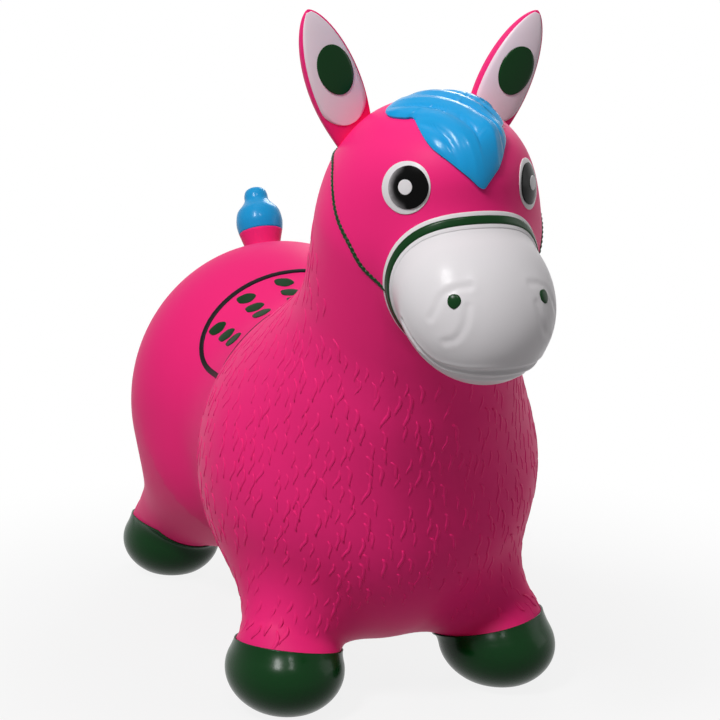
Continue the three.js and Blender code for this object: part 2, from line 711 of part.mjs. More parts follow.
const earFlat = earFrontFlatness * earHalfThickness + jointGap;
const liningHalfWidth = (z) => {
  const inset = Math.min((z - earRootHeight - earRim) / earRim, 1);
  return Math.max(earWidthAt(z / earLength) - earRim, 0.6) * Math.max(inset, 0.2);
};
const spotHalfWidthAt = (z) => {
  const off = (z - earSpotUp) / earSpotHalfLength;
  return earSpotHalfWidth * Math.sqrt(Math.max(1 - off * off, 0.01));
};
for (const [sideName, side] of legSides) {
  const ear = new THREE.Group();
  ear.position.set(side * earOut, head.y + earBehindHead, head.z + earAboveHead - earRootHeight / 2);
  ear.rotation.set(radians(earLeanAhead), side * radians(earLeanOut), 0, "YXZ");
  horse.add(ear);
  ear.updateMatrixWorld(true);
  const root = earPiece(-earRootHeight, earRootHeight - jointGap, false);
  const trim = solidOf(geometryOf(limbSkin.grown).applyMatrix4(ear.matrixWorld.clone().invert()));
  place(`${sideName}_ear_root`, geometryOf(root.subtract(trim)), pinkVinyl, ear);
  place(`${sideName}_ear`, geometryOf(earPiece(earRootHeight, earLength, true)), pinkVinyl, ear);
  const liningTop = earLength - 2 * earRim;
  const lining = earLayer(liningHalfWidth, earRootHeight + earRim, liningTop, earFlat, printThickness);
  place(`${sideName}_ear_lining`, lining, whitePaint, ear);
  const spotFront = earFlat + printThickness + jointGap;
  const low = earSpotUp - earSpotHalfLength;
  const spot = earLayer(spotHalfWidthAt, low, earSpotUp + earSpotHalfLength, spotFront, printThickness);
  place(`${sideName}_ear_spot`, spot, greenPaint, ear);
}

// Tail: a bulb standing square on the slope of the rump, blue above its paint edge
const tailSeat = castOut(rump, vec(0, Math.sin(radians(tailLean)), Math.cos(radians(tailLean))));
const tailOutline = new THREE.SplineCurve([
  new THREE.Vector2(tailRootRadius, -tailRootHeight),
  new THREE.Vector2(tailRootRadius, tailRootHeight),
  new THREE.Vector2(tailBulbRadius, tailBulbHeight),
  new THREE.Vector2(tailNeckRadius, tailNeckHeight),
  new THREE.Vector2(tailKnobRadius, tailHeight - tailKnobRadius / 2),
  new THREE.Vector2(0, tailHeight),
]).getPoints(18);

function tailPiece(low, high) {
  const radiusAt = (z) => {
    const n = tailOutline.findIndex((p) => p.y >= z);
    const a = tailOutline[Math.max(n - 1, 0)];
    const b = tailOutline[n < 0 ? tailOutline.length - 1 : n];
    return b.y === a.y ? b.x : THREE.MathUtils.mapLinear(z, a.y, b.y, a.x, b.x);
  };
  const between = tailOutline.filter((p) => p.y > low + 1 && p.y < high - 1);
  const top = high >= tailHeight ? [] : [new THREE.Vector2(radiusAt(high), high)];
  const profile = [new THREE.Vector2(0, low), new THREE.Vector2(radiusAt(low), low), ...between, ...top];
  return new THREE.LatheGeometry([...profile, new THREE.Vector2(0, high)], 18).rotateX(Math.PI / 2);
}

const tail = new THREE.Group();
tail.position.copy(tailSeat);
tail.rotation.x = -radians(tailTilt);
horse.add(tail);
tail.updateMatrixWorld(true);
const tailTrim = solidOf(geometryOf(barrelSkin.grown).applyMatrix4(tail.matrixWorld.clone().invert()));
const tailRoot = solidOf(tailPiece(-tailRootHeight, tailRootHeight - jointGap)).subtract(tailTrim);
place("tail_root", geometryOf(tailRoot), pinkVinyl, tail);
place("tail_stem", tailPiece(tailRootHeight, tailPaintHeight - jointGap), pinkVinyl, tail);
place("tail_tuft", tailPiece(tailPaintHeight, tailHeight), bluePaint, tail);

// Saddle print round the seat
function onBack(angle, y) {
  return castOut(vec(0, y, saddleAxisHeight), vec(Math.sin(angle), 0, Math.cos(angle)));
}

// It stands clear of the flat facets that bridge the hollow of the waist
const facetRise = barrelCell ** 2 / (12 * waistBlend);
const saddleThickness = printThickness + facetRise;
const saddleSteps = 36;
const saddlePath = Array.from({ length: saddleSteps }, (_, n) => {
  const turn = (2 * Math.PI * n) / saddleSteps;
  const rounded = (c) => Math.sign(c) * Math.abs(c) ** (2 / saddleCorner);
  const angle = radians(saddleHalfAngle) * rounded(Math.cos(turn));
  return onBack(angle, waistY + saddleHalfLength * rounded(Math.sin(turn)));
});
const saddleSolid = printedLine(saddlePath, saddleLine, -sink, sink + saddleThickness, true);
place("saddle_outline", seatedOn(barrelSkin, saddleSolid), blackPaint);

const saddleEdge = (angle) =>
  saddleHalfLength * (1 - Math.abs(angle / radians(saddleHalfAngle)) ** saddleCorner) ** (1 / saddleCorner);
for (let row = 0; row < spotRows; row++)
  for (let n = 0; n < spotsAcross; n++) {
    const angle = radians((n - (spotsAcross - 1) / 2) * spotPitchAngle);
    const middle = onBack(angle, waistY + saddleEdge(angle) - spotInset - row * spotRowPitch);
    const outline = roundOutline(middle, vec(0, 1, 0), spotHalfLength, spotHalfWidth, 12);
    const spot = printedPatch(outline, -sink, sink + saddleThickness, 0, [1]);
    place(`saddle_spot_${row * spotsAcross + n + 1}`, seatedOn(barrelSkin, spot), greenPaint);
  }

// Inflation valve: a flanged seat through the skin and the plug pressed into it
const valve = new THREE.Group();
valve.position.copy(valvePoint);
valve.quaternion.copy(valveTurn);
horse.add(valve);
const seatBore = plugStemRadius + runningGap;
const flangeTop = printGap + valveFlangeThickness;
const seatProfile = [
  [seatBore, -valveDepth],
  [valveCollarRadius, -valveDepth],
  [valveCollarRadius, printGap],
  [valveFlangeRadius, printGap],
  [valveFlangeRadius, flangeTop],
  [seatBore, flangeTop],
  [seatBore, -valveDepth],
];
const plugBase = flangeTop + jointGap;
const plugProfile = [
  [0, -valveDepth],
  [plugStemRadius, -valveDepth],
  [plugStemRadius, plugBase],
  [plugHeadRadius, plugBase],
  [plugHeadRadius, plugBase + plugHeadThickness],
  [0, plugBase + plugHeadThickness],
];
const turned = (profile) => {
  const points = profile.map(([radius, height]) => new THREE.Vector2(radius, height));
  return new THREE.LatheGeometry(points, 24).rotateX(Math.PI / 2);
};
place("valve_seat", turned(seatProfile), whitePaint, valve);
place("valve_plug", turned(plugProfile), whitePaint, valve);

// The origin is on the floor under the middle of the horse's length
horse.updateMatrixWorld(true);
const box = new THREE.Box3().setFromObject(horse, true);
horse.children.forEach((child) => (child.position.y -= (box.min.y + box.max.y) / 2));

export default horse;
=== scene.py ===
import json
import math

import bpy
import numpy as np
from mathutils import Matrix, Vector

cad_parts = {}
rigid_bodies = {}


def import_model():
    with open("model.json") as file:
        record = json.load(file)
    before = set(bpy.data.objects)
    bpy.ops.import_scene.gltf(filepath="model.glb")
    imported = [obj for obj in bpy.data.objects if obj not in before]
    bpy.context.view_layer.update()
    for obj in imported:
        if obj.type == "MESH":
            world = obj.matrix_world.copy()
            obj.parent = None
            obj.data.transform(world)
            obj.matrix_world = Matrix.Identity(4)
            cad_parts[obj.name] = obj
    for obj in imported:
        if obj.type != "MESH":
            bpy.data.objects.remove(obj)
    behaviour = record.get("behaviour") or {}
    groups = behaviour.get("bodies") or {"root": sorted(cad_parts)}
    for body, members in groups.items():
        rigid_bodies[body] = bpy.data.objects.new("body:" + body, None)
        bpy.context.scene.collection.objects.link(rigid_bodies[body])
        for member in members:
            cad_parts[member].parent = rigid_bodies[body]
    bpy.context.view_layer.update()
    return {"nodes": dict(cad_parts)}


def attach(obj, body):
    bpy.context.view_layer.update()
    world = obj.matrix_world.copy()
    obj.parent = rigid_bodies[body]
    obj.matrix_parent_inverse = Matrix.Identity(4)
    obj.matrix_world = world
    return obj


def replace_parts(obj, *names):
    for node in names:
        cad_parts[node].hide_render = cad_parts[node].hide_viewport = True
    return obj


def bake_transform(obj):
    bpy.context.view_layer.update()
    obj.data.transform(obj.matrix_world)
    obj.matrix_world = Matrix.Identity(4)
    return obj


for stray in list(bpy.data.objects):
    bpy.data.objects.remove(stray)
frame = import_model()
mm = 0.001  # sizes below are in millimetres, meshes in metres
sides = {"left": 1, "right": -1}
legEnds = ("front", "rear")
print("frame loaded:", len(frame["nodes"]), "nodes")

# the blown skin, in the frame's own axes
form = {
    "chest": (0, -50.4, 171), "chestHalf": (128, 116, 132),
    "rump": (0, 175.6, 177), "rumpHalf": (131, 96, 134),
    "waistHeight": 160, "waistHalf": (97, 97, 106), "waistBlend": 60,
    "neckBase": (0, -121.4, 264), "neckBaseRadius": 78,
    "neckTop": (0, -165.4, 359), "neckTopRadius": 79, "neckBlend": 58,
    "head": (0, -177.4, 398), "headHalf": (61, 80, 53), "headBlend": 22,
    "muzzle": (0, -249.4, 324), "muzzleHalf": (53, 60, 43), "muzzlePitch": 51,
    "hooves": [(86, -103.4, 30), (84, 250.6, 30)], "hoofHalf": (43, 51, 34), "hoofBlend": 8,
    "hips": [(53, -69.4, 99), (55, 153.6, 124)], "hipRadii": [50, 63],
    "ankleHeight": 48, "ankleRadius": 34, "legBlend": 26, "soleRound": 4,
}


def blendUnion(a, b, width):
    h = np.maximum(width - np.abs(a - b), 0) / width
    return np.minimum(a, b) - h * h * width / 4


def ellipsoidField(q, half):
    half = np.array(half, float)
    k0 = np.linalg.norm(q / half, axis=1)
    k1 = np.linalg.norm(q / half**2, axis=1)
    return k0 * (k0 - 1) / np.maximum(k1, 1e-9)


def taperField(p, start, end, startRadius, endRadius):
    start, end = np.array(start, float), np.array(end, float)
    d = end - start
    t = np.clip((p - start) @ d / (d @ d), 0, 1)
    away = np.linalg.norm(p - start - t[:, None] * d, axis=1)
    return away - startRadius - (endRadius - startRadius) * t


def noseField(p):
    q = p - np.array(form["muzzle"], float)
    c, s = math.cos(math.radians(form["muzzlePitch"])), math.sin(math.radians(form["muzzlePitch"]))
    pitched = np.stack([q[:, 0], q[:, 1] * c + q[:, 2] * s, q[:, 2] * c - q[:, 1] * s], 1)
    return ellipsoidField(pitched, form["muzzleHalf"])


def skinField(p):
    q = np.stack([np.abs(p[:, 0]), p[:, 1], p[:, 2]], 1)
    chest, rump = np.array(form["chest"], float), np.array(form["rump"], float)
    past = np.maximum(np.maximum(chest[1] - q[:, 1], q[:, 1] - rump[1]), 0)
    waist = np.stack([q[:, 0], past, q[:, 2] - form["waistHeight"]], 1)
    fore, hind = ellipsoidField(q - chest, form["chestHalf"]), ellipsoidField(q - rump, form["rumpHalf"])
    body = blendUnion(fore, hind, form["waistBlend"])
    body = blendUnion(body, ellipsoidField(waist, form["waistHalf"]), form["waistBlend"])
    neck = taperField(q, form["neckBase"], form["neckTop"], form["neckBaseRadius"], form["neckTopRadius"])
    body = blendUnion(body, neck, form["neckBlend"])
    cranium = ellipsoidField(q - np.array(form["head"], float), form["headHalf"])
    body = blendUnion(body, blendUnion(cranium, noseField(q), form["headBlend"]), form["headBlend"])
    for hip, hipRadius, hoof in zip(form["hips"], form["hipRadii"], form["hooves"]):
        ankle = (hoof[0], hoof[1], form["ankleHeight"])
        body = blendUnion(body, taperField(q, hip, ankle, hipRadius, form["ankleRadius"]), form["legBlend"])
    for hoof in form["hooves"]:
        foot = ellipsoidField(q - np.array(hoof, float), form["hoofHalf"])
        body = blendUnion(body, foot, form["hoofBlend"])
    return -blendUnion(-body, q[:, 2], form["soleRound"])  # flat soles on the floor


# finding places on the skin
search = {"flattest": 0.04, "farthest": 12, "castRounds": 150, "castShare": 0.6, "castLeast": 0.01}


def slopeOf(field, p, step=0.3):
    steps = np.eye(3) * step
    return np.stack([field(p + s) - field(p - s) for s in steps], 1) / (2 * step)


def unit(v):
    v = np.asarray(v, float)
    return v / np.maximum(np.linalg.norm(v, axis=-1, keepdims=True), 1e-12)


def skinNormals(p):
    return unit(slopeOf(skinField, p))


def towardsLevel(field, p, level=0.0, flattest=0.05, farthest=np.inf):  # the step to a field's level
    g = slopeOf(field, p)
    push = (field(p) - level) / np.maximum((g * g).sum(1), flattest)
    return -np.clip(push, -farthest, farthest)[:, None] * g


def settle(p, lift=0.0, rounds=8):  # points on to the skin, or to a height over it
    p = np.array(p, float).reshape(-1, 3)
    for _ in range(rounds):
        p = p + towardsLevel(skinField, p, lift, search["flattest"], search["farthest"])
    return p


def castOut(p, direction):  # first skin point on the way out
    p = np.array(p, float).reshape(-1, 3)
    d = np.broadcast_to(unit(direction), p.shape)
    for _ in range(search["castRounds"]):
        depth = skinField(p)
        stride = np.maximum(-depth * search["castShare"], search["castLeast"])
        p = p + d * np.where(depth < -search["castLeast"], stride, 0)[:, None]
    return settle(p)


# meshes of the skin
def surfaceNet(field, low, high, cell):  # a point in each cell that the skin crosses, joined by quads
    axes = [np.arange(a, b, cell) for a, b in zip(low, high)]
    grid = np.stack(np.meshgrid(*axes, indexing="ij"), -1)
    values = field(grid.reshape(-1, 3)).reshape(grid.shape[:3])
    n = np.array(values.shape) - 1
    corner = lambda c: values[c[0]:c[0] + n[0], c[1]:c[1] + n[1], c[2]:c[2] + n[2]]
    corners = [(i, j, k) for i in (0, 1) for j in (0, 1) for k in (0, 1)]
    inside = sum((corner(c) < 0).astype(int) for c in corners)
    mixed = (inside > 0) & (inside < len(corners))
    number = np.full(mixed.shape, -1)
    number[mixed] = np.arange(mixed.sum())
    total, count = np.zeros((*mixed.shape, 3)), np.zeros(mixed.shape)
    for c in corners:
        for axis in range(3):
            if c[axis]:
                continue
            e = np.array(c)
            e[axis] = 1
            a, b = corner(c), corner(e)
            cut = (a < 0) != (b < 0)
            t = np.where(cut, a / np.where(cut, a - b, 1), 0)
            total += np.where(cut[..., None], np.array(c, float) + t[..., None] * np.eye(3)[axis], 0)
            count += cut
    cells = np.argwhere(mixed)
    verts = np.array(low, float) + cell * (cells + total[mixed] / count[mixed][:, None])
    quads = []
    for axis in range(3):
        u, v = [(1, 2), (2, 0), (0, 1)][axis]
        a = np.moveaxis(values, (axis, u, v), (0, 1, 2))
        ids = np.moveaxis(number, (axis, u, v), (0, 1, 2))
        start, end = a[:-1, 1:-1, 1:-1] < 0, a[1:, 1:-1, 1:-1] < 0
        ring = np.stack([ids[:, :-1, :-1], ids[:, 1:, :-1], ids[:, 1:, 1:], ids[:, :-1, 1:]], -1)
        quads += [ring[start & ~end], ring[~start & end][:, ::-1]]
    return verts, np.concatenate(quads)


def sidesOf(faces):  # the sides of every face, as pairs of points
    following = np.roll(faces, -1, axis=1)
    return np.concatenate([np.stack([faces[:, k], following[:, k]], 1) for k in range(faces.shape[1])])


def evenOut(verts, faces, rounds, pull=0.6):  # slides points along the skin to even spacing
    edges = sidesOf(faces)
    for _ in range(rounds):
        total, count = np.zeros_like(verts), np.zeros(len(verts))
        for a, b in ((0, 1), (1, 0)):
            np.add.at(total, edges[:, a], verts[edges[:, b]])
            np.add.at(count, edges[:, a], 1)
        verts = settle(verts + pull * (total / np.maximum(count, 1)[:, None] - verts), rounds=3)
    return verts


def snapTo(verts, tris, field, rounds=4):  # the nearest points move on to the paint edge
    level = field(verts)
    edges = np.unique(np.sort(sidesOf(tris), 1), axis=0)
    for a, b in edges[level[edges[:, 0]] * level[edges[:, 1]] < 0]:
        if level[a] * level[b] < 0:
            t = level[a] / (level[a] - level[b])
            cut = verts[a] + t * (verts[b] - verts[a])
            near = a if t < 0.5 else b
            verts[near], level[near] = cut, 0
    onEdge = np.flatnonzero(level == 0)
    for _ in range(rounds):
        p = settle(verts[onEdge], rounds=2)
        verts[onEdge] = p + towardsLevel(field, p)
    return level


def refine(verts, tris):  # each triangle into four
    pairs, where = np.unique(np.sort(sidesOf(tris), 1), axis=0, return_inverse=True)
    middle = len(verts) + where.reshape(3, -1).T
    verts = np.concatenate([verts, (verts[pairs[:, 0]] + verts[pairs[:, 1]]) / 2])
    a, b, c = tris.T
    ab, bc, ca = middle.T
    quarters = [(a, ab, ca), (ab, b, bc), (ca, bc, c), (ab, bc, ca)]
    return verts, np.concatenate([np.stack(three, 1) for three in quarters])


def finer(verts, tris, edge, rounds=2, rimRounds=3):  # a closer mesh, its rim on the paint edge
    used, tris = np.unique(tris, return_inverse=True)
    verts, tris = verts[used], tris.reshape(-1, 3)
    for _ in range(rounds):
        verts, tris = refine(verts, tris)
        pairs, count = np.unique(np.sort(sidesOf(tris), 1), axis=0, return_counts=True)
        rim = np.unique(pairs[count == 1])
        verts = settle(verts, rounds=4)
        for _ in range(rimRounds):
            verts[rim] = settle(verts[rim] + towardsLevel(edge, verts[rim]), rounds=2)
    return verts, tris


# meshes into pieces
def addObject(name, data):
    made = bpy.data.objects.new(name, data)
    bpy.context.scene.collection.objects.link(made)
    return made


def meshPiece(name, verts, faces, finish, normals=None, marks=None):
    mesh = bpy.data.meshes.new(name)
    mesh.from_pydata((np.asarray(verts) * mm).tolist(), [], [list(map(int, f)) for f in faces])
    mesh.validate()
    mesh.shade_smooth()
    for label, values in (marks or {}).items():
        mark = mesh.attributes.new(label, "FLOAT", "POINT")
        mark.data.foreach_set("value", np.asarray(values, np.float32))
    if normals is not None:
        mesh.normals_split_custom_set_from_vertices(np.asarray(normals).tolist())
    mesh.materials.append(finish)
    return addObject(name, mesh)


def shellPiece(name, verts, tris, finish, wall, lift=None):  # one painted area of the skin, with its wall
    used, faces = np.unique(tris, return_inverse=True)
    faces = faces.reshape(-1, 3)
    outer = verts[used]
    normals = skinNormals(outer)
    if lift is not None:
        outer = outer + lift(outer)[:, None] * normals
    inner = outer - wall * normals
    n = len(outer)
    sided = sidesOf(faces)
    known = set(map(tuple, sided))
    rim = [(b, a, a + n, b + n) for a, b in map(tuple, sided) if (b, a) not in known]
    every = [*faces, *(faces[:, ::-1] + n), *rim]
    shading = np.concatenate([normals, -normals]) if lift is None else None
    return meshPiece(name, np.concatenate([outer, inner]), every, finish, shading)


def ringsMesh(rings, loop=False):  # a list of point rings into one closed skin
    size = len(rings[0])
    faces = []
    for r in range(len(rings) - (not loop)):
        here, there = r * size, (r + 1) % len(rings) * size
        for k in range(size):
            a, b = k, (k + 1) % size
            faces.append((here + a, here + b, there + b, there + a))
    verts = [p for ring in rings for p in ring]
    if not loop:
        first, last = len(verts), len(verts) + 1
        verts += [np.mean(rings[0], 0), np.mean(rings[-1], 0)]
        for k in range(size):
            faces.append((first, (k + 1) % size, k))
            faces.append((last, (len(rings) - 1) * size + k, (len(rings) - 1) * size + (k + 1) % size))
    return np.array(verts), faces


def outward(verts, faces):  # a mirrored loft gets its faces turned back
    mesh = np.array([verts[list(f[:3])] for f in faces])
    volume = np.einsum("ij,ij->i", mesh[:, 0], np.cross(mesh[:, 1], mesh[:, 2])).sum()
    return faces if volume > 0 else [tuple(reversed(f)) for f in faces]


# paint in relief: patches and ribbons laid on the skin
patch = {"innermost": 0.04, "dome": 0.8, "underShares": (0.6, 0.2), "rounds": 6}
ribbon = {"across": 9, "squareness": 6, "brim": 0.95, "rounds": 5}


def layPatch(outline, crown, edge, sunk=0.8, rings=12, extra=None, reach=1.0):  # a coat inside an outline
    outline = np.array(outline, float)
    middle = settle(outline.mean(0))
    shares = np.sin(np.linspace(patch["innermost"], 1, rings) * math.pi / 2)
    level = []
    for share in shares:
        base = settle(middle + share * (outline - middle), rounds=patch["rounds"])
        height = edge + crown * (1 - (share * reach) ** 2) ** patch["dome"]  # reach: share of a larger dome
        lift = np.full(len(base), height) if extra is None else height + extra(base, share)
        level.append(base + skinNormals(base) * lift[:, None])
    rim = settle(outline, rounds=patch["rounds"])
    skirt = rim - skinNormals(rim) * sunk
    below = [middle + share * (outline - middle) for share in patch["underShares"]]
    under = [settle(ring, -sunk, patch["rounds"]) for ring in below]
    verts, faces = ringsMesh([*level, skirt, *under])
    radial = np.concatenate([np.repeat([*shares, 1, 1, 1], len(outline)), [0, 1]])
    return verts, faces, radial


def layRibbon(path, width, height, sunk=0.8):  # a band along points on the skin
    path = np.array(path, float)
    along = unit(np.gradient(path, axis=0))
    side = unit(np.cross(skinNormals(path), along))
    shares = np.sin(np.linspace(-0.5, 0.5, ribbon["across"]) * math.pi)
    rings = []
    for p, s in zip(path, side):
        base = settle(p + shares[:, None] * s * width / 2, rounds=ribbon["rounds"])
        lift = height * (1 - np.abs(shares * ribbon["brim"]) ** ribbon["squareness"])
        top = base + skinNormals(base) * lift[:, None]
        low = base - skinNormals(base) * sunk
        rings.append(np.concatenate([top, low[::-1]]))
    return ringsMesh(rings)


def smoothPath(points, count):  # a rounded run through listed points
    points = np.array(points, float)
    ends = np.concatenate([[2 * points[0] - points[1]], points, [2 * points[-1] - points[-2]]])
    made = []
    for s in np.linspace(0, len(points) - 1 - 1e-6, count):
        k, t = int(s), s - int(s)
        a, b, c, d = ends[k:k + 4]
        square, cube = 2 * a - 5 * b + 4 * c - d, 3 * b - a - 3 * c + d
        made.append(0.5 * (2 * b + (c - a) * t + square * t**2 + cube * t**3))
    return np.array(made)


def alongDistance(p, path):  # distance of points from a polyline
    best = np.full(len(p), 1e9)
    for a, b in zip(path[:-1], path[1:]):
        d = b - a
        t = np.clip((p - a) @ d / max(d @ d, 1e-9), 0, 1)
        best = np.minimum(best, np.linalg.norm(p - a - t[:, None] * d, axis=1))
    return best


class Wire:  # a socket that takes part in sums
    def __init__(self, bench, socket):
        self.bench, self.socket = bench, socket

    def maths(self, operation, other, flipped=False):
        pair = (other, self) if flipped else (self, other)
        return self.bench.node("ShaderNodeMath", {"operation": operation}, {0: pair[0], 1: pair[1]})

    def __add__(self, other):
        return self.maths("ADD", other)

    def __radd__(self, other):
        return self.maths("ADD", other, True)

    def __sub__(self, other):
        return self.maths("SUBTRACT", other)

    def __rsub__(self, other):
        return self.maths("SUBTRACT", other, True)

    def __mul__(self, other):
        return self.maths("MULTIPLY", other)

    def __rmul__(self, other):
        return self.maths("MULTIPLY", other, True)


class Bench:  # a node tree being wired
    def __init__(self, tree):
        self.tree = tree

    def node(self, kind, settings=None, sockets=None, out=0):
        made = self.tree.nodes.new(kind)
        for key, value in (settings or {}).items():
            setattr(made, key, value)
        for key, value in (sockets or {}).items():
            if isinstance(value, Wire):
                self.tree.links.new(value.socket, made.inputs[key])
            else:
                made.inputs[key].default_value = value
        return Wire(self, made.outputs[out]) if made.outputs else made


class Finish(Bench):  # a material under way
    def __init__(self, name, roughness, coat=0.0, specular=0.1, coatRoughness=0.12):
        self.material = bpy.data.materials.new(name)
        self.material.use_nodes = True
        super().__init__(self.material.node_tree)
        self.shader = next(n for n in self.tree.nodes if n.type == "BSDF_PRINCIPLED")
        self.shader.inputs["Roughness"].default_value = roughness
        self.shader.inputs["Coat Weight"].default_value = coat
        self.shader.inputs["Coat Roughness"].default_value = coatRoughness
        self.shader.inputs["Specular IOR Level"].default_value = specular
        self.place = self.node("ShaderNodeTexCoord", out="Object")

    def noise(self, scale, detail=2.0):
        return self.node("ShaderNodeTexNoise", {}, {"Vector": self.place, "Scale": scale, "Detail": detail})

    def mix(self, factor, a, b):  # sockets 6 and 7 are the mix node's two colours, output 2 their blend
        return self.node("ShaderNodeMix", {"data_type": "RGBA"}, {0: factor, 6: a, 7: b}, out=2)

    def feed(self, name, wire):
        self.tree.links.new(wire.socket, self.shader.inputs[name])

    def bump(self, height, strength, distance):
        sockets = {"Height": height, "Strength": strength, "Distance": distance}
        self.feed("Normal", self.node("ShaderNodeBump", {}, sockets))


# finishes: moulded vinyl and the paints on it, cloudy in colour and gloss, with fine pores
vinyl = {
    "cloudScale": 9, "cloudDetail": 3, "poreScale": 700, "poreDetail": 2, "rippleScale": 60,
    "rippleDetail": 1, "poreShare": 0.6, "rippleShare": 0.8, "roughSpread": 0.12, "bumpDistance": 0.0006,
}


def vinylFinish(name, colour, worn, roughness, coat, grain):
    finish = Finish(name, roughness, coat)
    cloud = finish.noise(vinyl["cloudScale"], vinyl["cloudDetail"])
    pores = finish.noise(vinyl["poreScale"], vinyl["poreDetail"])
    ripple = finish.noise(vinyl["rippleScale"], vinyl["rippleDetail"])
    finish.feed("Base Color", finish.mix(cloud, (*colour, 1), (*worn, 1)))
    finish.feed("Roughness", roughness - vinyl["roughSpread"] / 2 + vinyl["roughSpread"] * cloud)
    finish.bump(pores * vinyl["poreShare"] + ripple * vinyl["rippleShare"], grain, vinyl["bumpDistance"])
    return finish.material


pinkVinyl = vinylFinish("pinkVinyl", (0.94, 0.027, 0.220), (0.89, 0.022, 0.192), 0.48, 0.0, 0.10)
greenPaint = vinylFinish("greenPaint", (0.001, 0.044, 0.006), (0.001, 0.033, 0.005), 0.26, 0.06, 0.10)
whitePaint = vinylFinish("whitePaint", (0.80, 0.77, 0.79), (0.74, 0.71, 0.73), 0.32, 0.05, 0.08)
# ear-lining white, lighter than the white paint elsewhere: painted light on the ear linings
earWhite = vinylFinish("earWhite", (0.92, 0.78, 0.85), (0.90, 0.74, 0.82), 0.34, 0.05, 0.08)
bluePaint = vinylFinish("bluePaint", (0.012, 0.36, 0.74), (0.008, 0.31, 0.68), 0.27, 0.12, 0.10)
blackPaint = vinylFinish("blackPaint", (0.003, 0.002, 0.003), (0.005, 0.004, 0.005), 0.42, 0.0, 0.08)
valvePlastic = vinylFinish("valvePlastic", (0.74, 0.73, 0.71), (0.68, 0.67, 0.65), 0.42, 0.0, 0.06)
print("finishes made")

# skin areas: white muzzle, pink head and body, green hooves
skin = {
    "low": (-150, -330, -12), "high": (150, 320, 480), "cell": 5.0, "evenRounds": 4,
    "wall": 2.2, "noseRise": 4.5, "hoofPaintHeight": 48, "hoofPaintSlope": 0.19,
    "hoofPaintLift": 0.15, "hoofMargin": 5,
    "hoofLedge": 1.4, "hoofLedgeRun": 9, "hoofLedgeLow": 2, "bounceLow": 58, "bounceHigh": 150,
    "neckCut": (0, -128.1, 278.5), "neckEnd": (0, -144.1, 313.0),
    "holeAt": (0, 283.19, 201), "holeAxis": (0, 0.97767, 0.21013), "holeRadius": 9.2, "holeDepth": 60,
}
neckAxis = unit(np.array(skin["neckEnd"]) - np.array(skin["neckCut"]))


def noseEdge(p):
    return noseField(p) - skin["noseRise"]


def neckEdge(p):
    return (np.array(skin["neckCut"]) - p) @ neckAxis


def hoofEdge(p, hoof, side):
    x, y = p[:, 0] - side * hoof[0], p[:, 1] - hoof[1]
    ahead = hoof[1] - p[:, 1] if hoof[1] < 0 else 0  # only the front hooves' paint rises ahead
    paint = p[:, 2] - skin["hoofPaintHeight"] - skin["hoofPaintSlope"] * side * x
    paint = paint - skin["hoofPaintLift"] * ahead
    rx, ry = form["hoofHalf"][0] + skin["hoofMargin"], form["hoofHalf"][1] + skin["hoofMargin"]
    return np.maximum(paint, (np.hypot(x / rx, y / ry) - 1) * min(rx, ry))


def holeEdge(p):
    axis = np.array(skin["holeAxis"])
    q = p - np.array(skin["holeAt"])
    depth = q @ axis
    away = np.linalg.norm(q - depth[:, None] * axis, axis=1)
    return np.maximum(away - skin["holeRadius"], -skin["holeDepth"] - depth)


points, quads = surfaceNet(skinField, skin["low"], skin["high"], skin["cell"])
points = evenOut(settle(points), quads, skin["evenRounds"])
diagonals = [np.linalg.norm(points[quads[:, a]] - points[quads[:, b]], axis=1) for a, b in ((0, 2), (1, 3))]
firstWay, otherWay = quads[diagonals[0] < diagonals[1]], quads[diagonals[0] >= diagonals[1]]
halves = [(firstWay, [0, 1, 2]), (firstWay, [0, 2, 3]), (otherWay, [0, 1, 3]), (otherWay, [1, 2, 3])]
skinTris = np.concatenate([four[:, three] for four, three in halves])  # cut along the shorter diagonals
area = np.full(len(skinTris), "body", dtype=object)
areaEdges = {"neck": neckEdge, "muzzle": noseEdge, "valveHole": holeEdge}
for end, hoof in zip(legEnds, form["hooves"]):
    for sideName, side in sides.items():
        areaEdges[f"{end}_{sideName}_hoof"] = lambda p, h=hoof, s=side: hoofEdge(p, h, s)
levels = {label: snapTo(points, skinTris, edge) for label, edge in areaEdges.items()}
for label, level in levels.items():
    area[level[skinTris].sum(1) < 0] = "head" if label == "neck" else label
print("skin areas:", {a: int((area == a).sum()) for a in dict.fromkeys(area)})

bodySkin = shellPiece("bodySkin", points, skinTris[area == "body"], pinkVinyl, skin["wall"])
headSkin = shellPiece("headSkin", points, skinTris[area == "head"], pinkVinyl, skin["wall"])
legs = [f"{end}_{sideName}_leg" for end in legEnds for sideName in sides]
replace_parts(bodySkin, "fore_barrel", "hind_barrel", "neck", *legs)
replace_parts(headSkin, "head")

for end, hoof in zip(legEnds, form["hooves"]):
    for sideName, side in sides.items():
        node = f"{end}_{sideName}_hoof"

        def ledge(p, hoof=hoof, side=side):  # the paint stands out along its upper edge
            below = np.maximum(-hoofEdge(p, hoof, side), 0)
            offSole = p[:, 2] > skin["hoofLedgeLow"]
            return skin["hoofLedge"] * np.exp(-below / skin["hoofLedgeRun"]) * offSole

        hoofPoints, hoofTris = finer(points, skinTris[area == node], areaEdges[node])
        piece = shellPiece(node + "Paint", hoofPoints, hoofTris, greenPaint, skin["wall"], ledge)
        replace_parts(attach(piece, "feet"), node)
print("skin and hooves made")

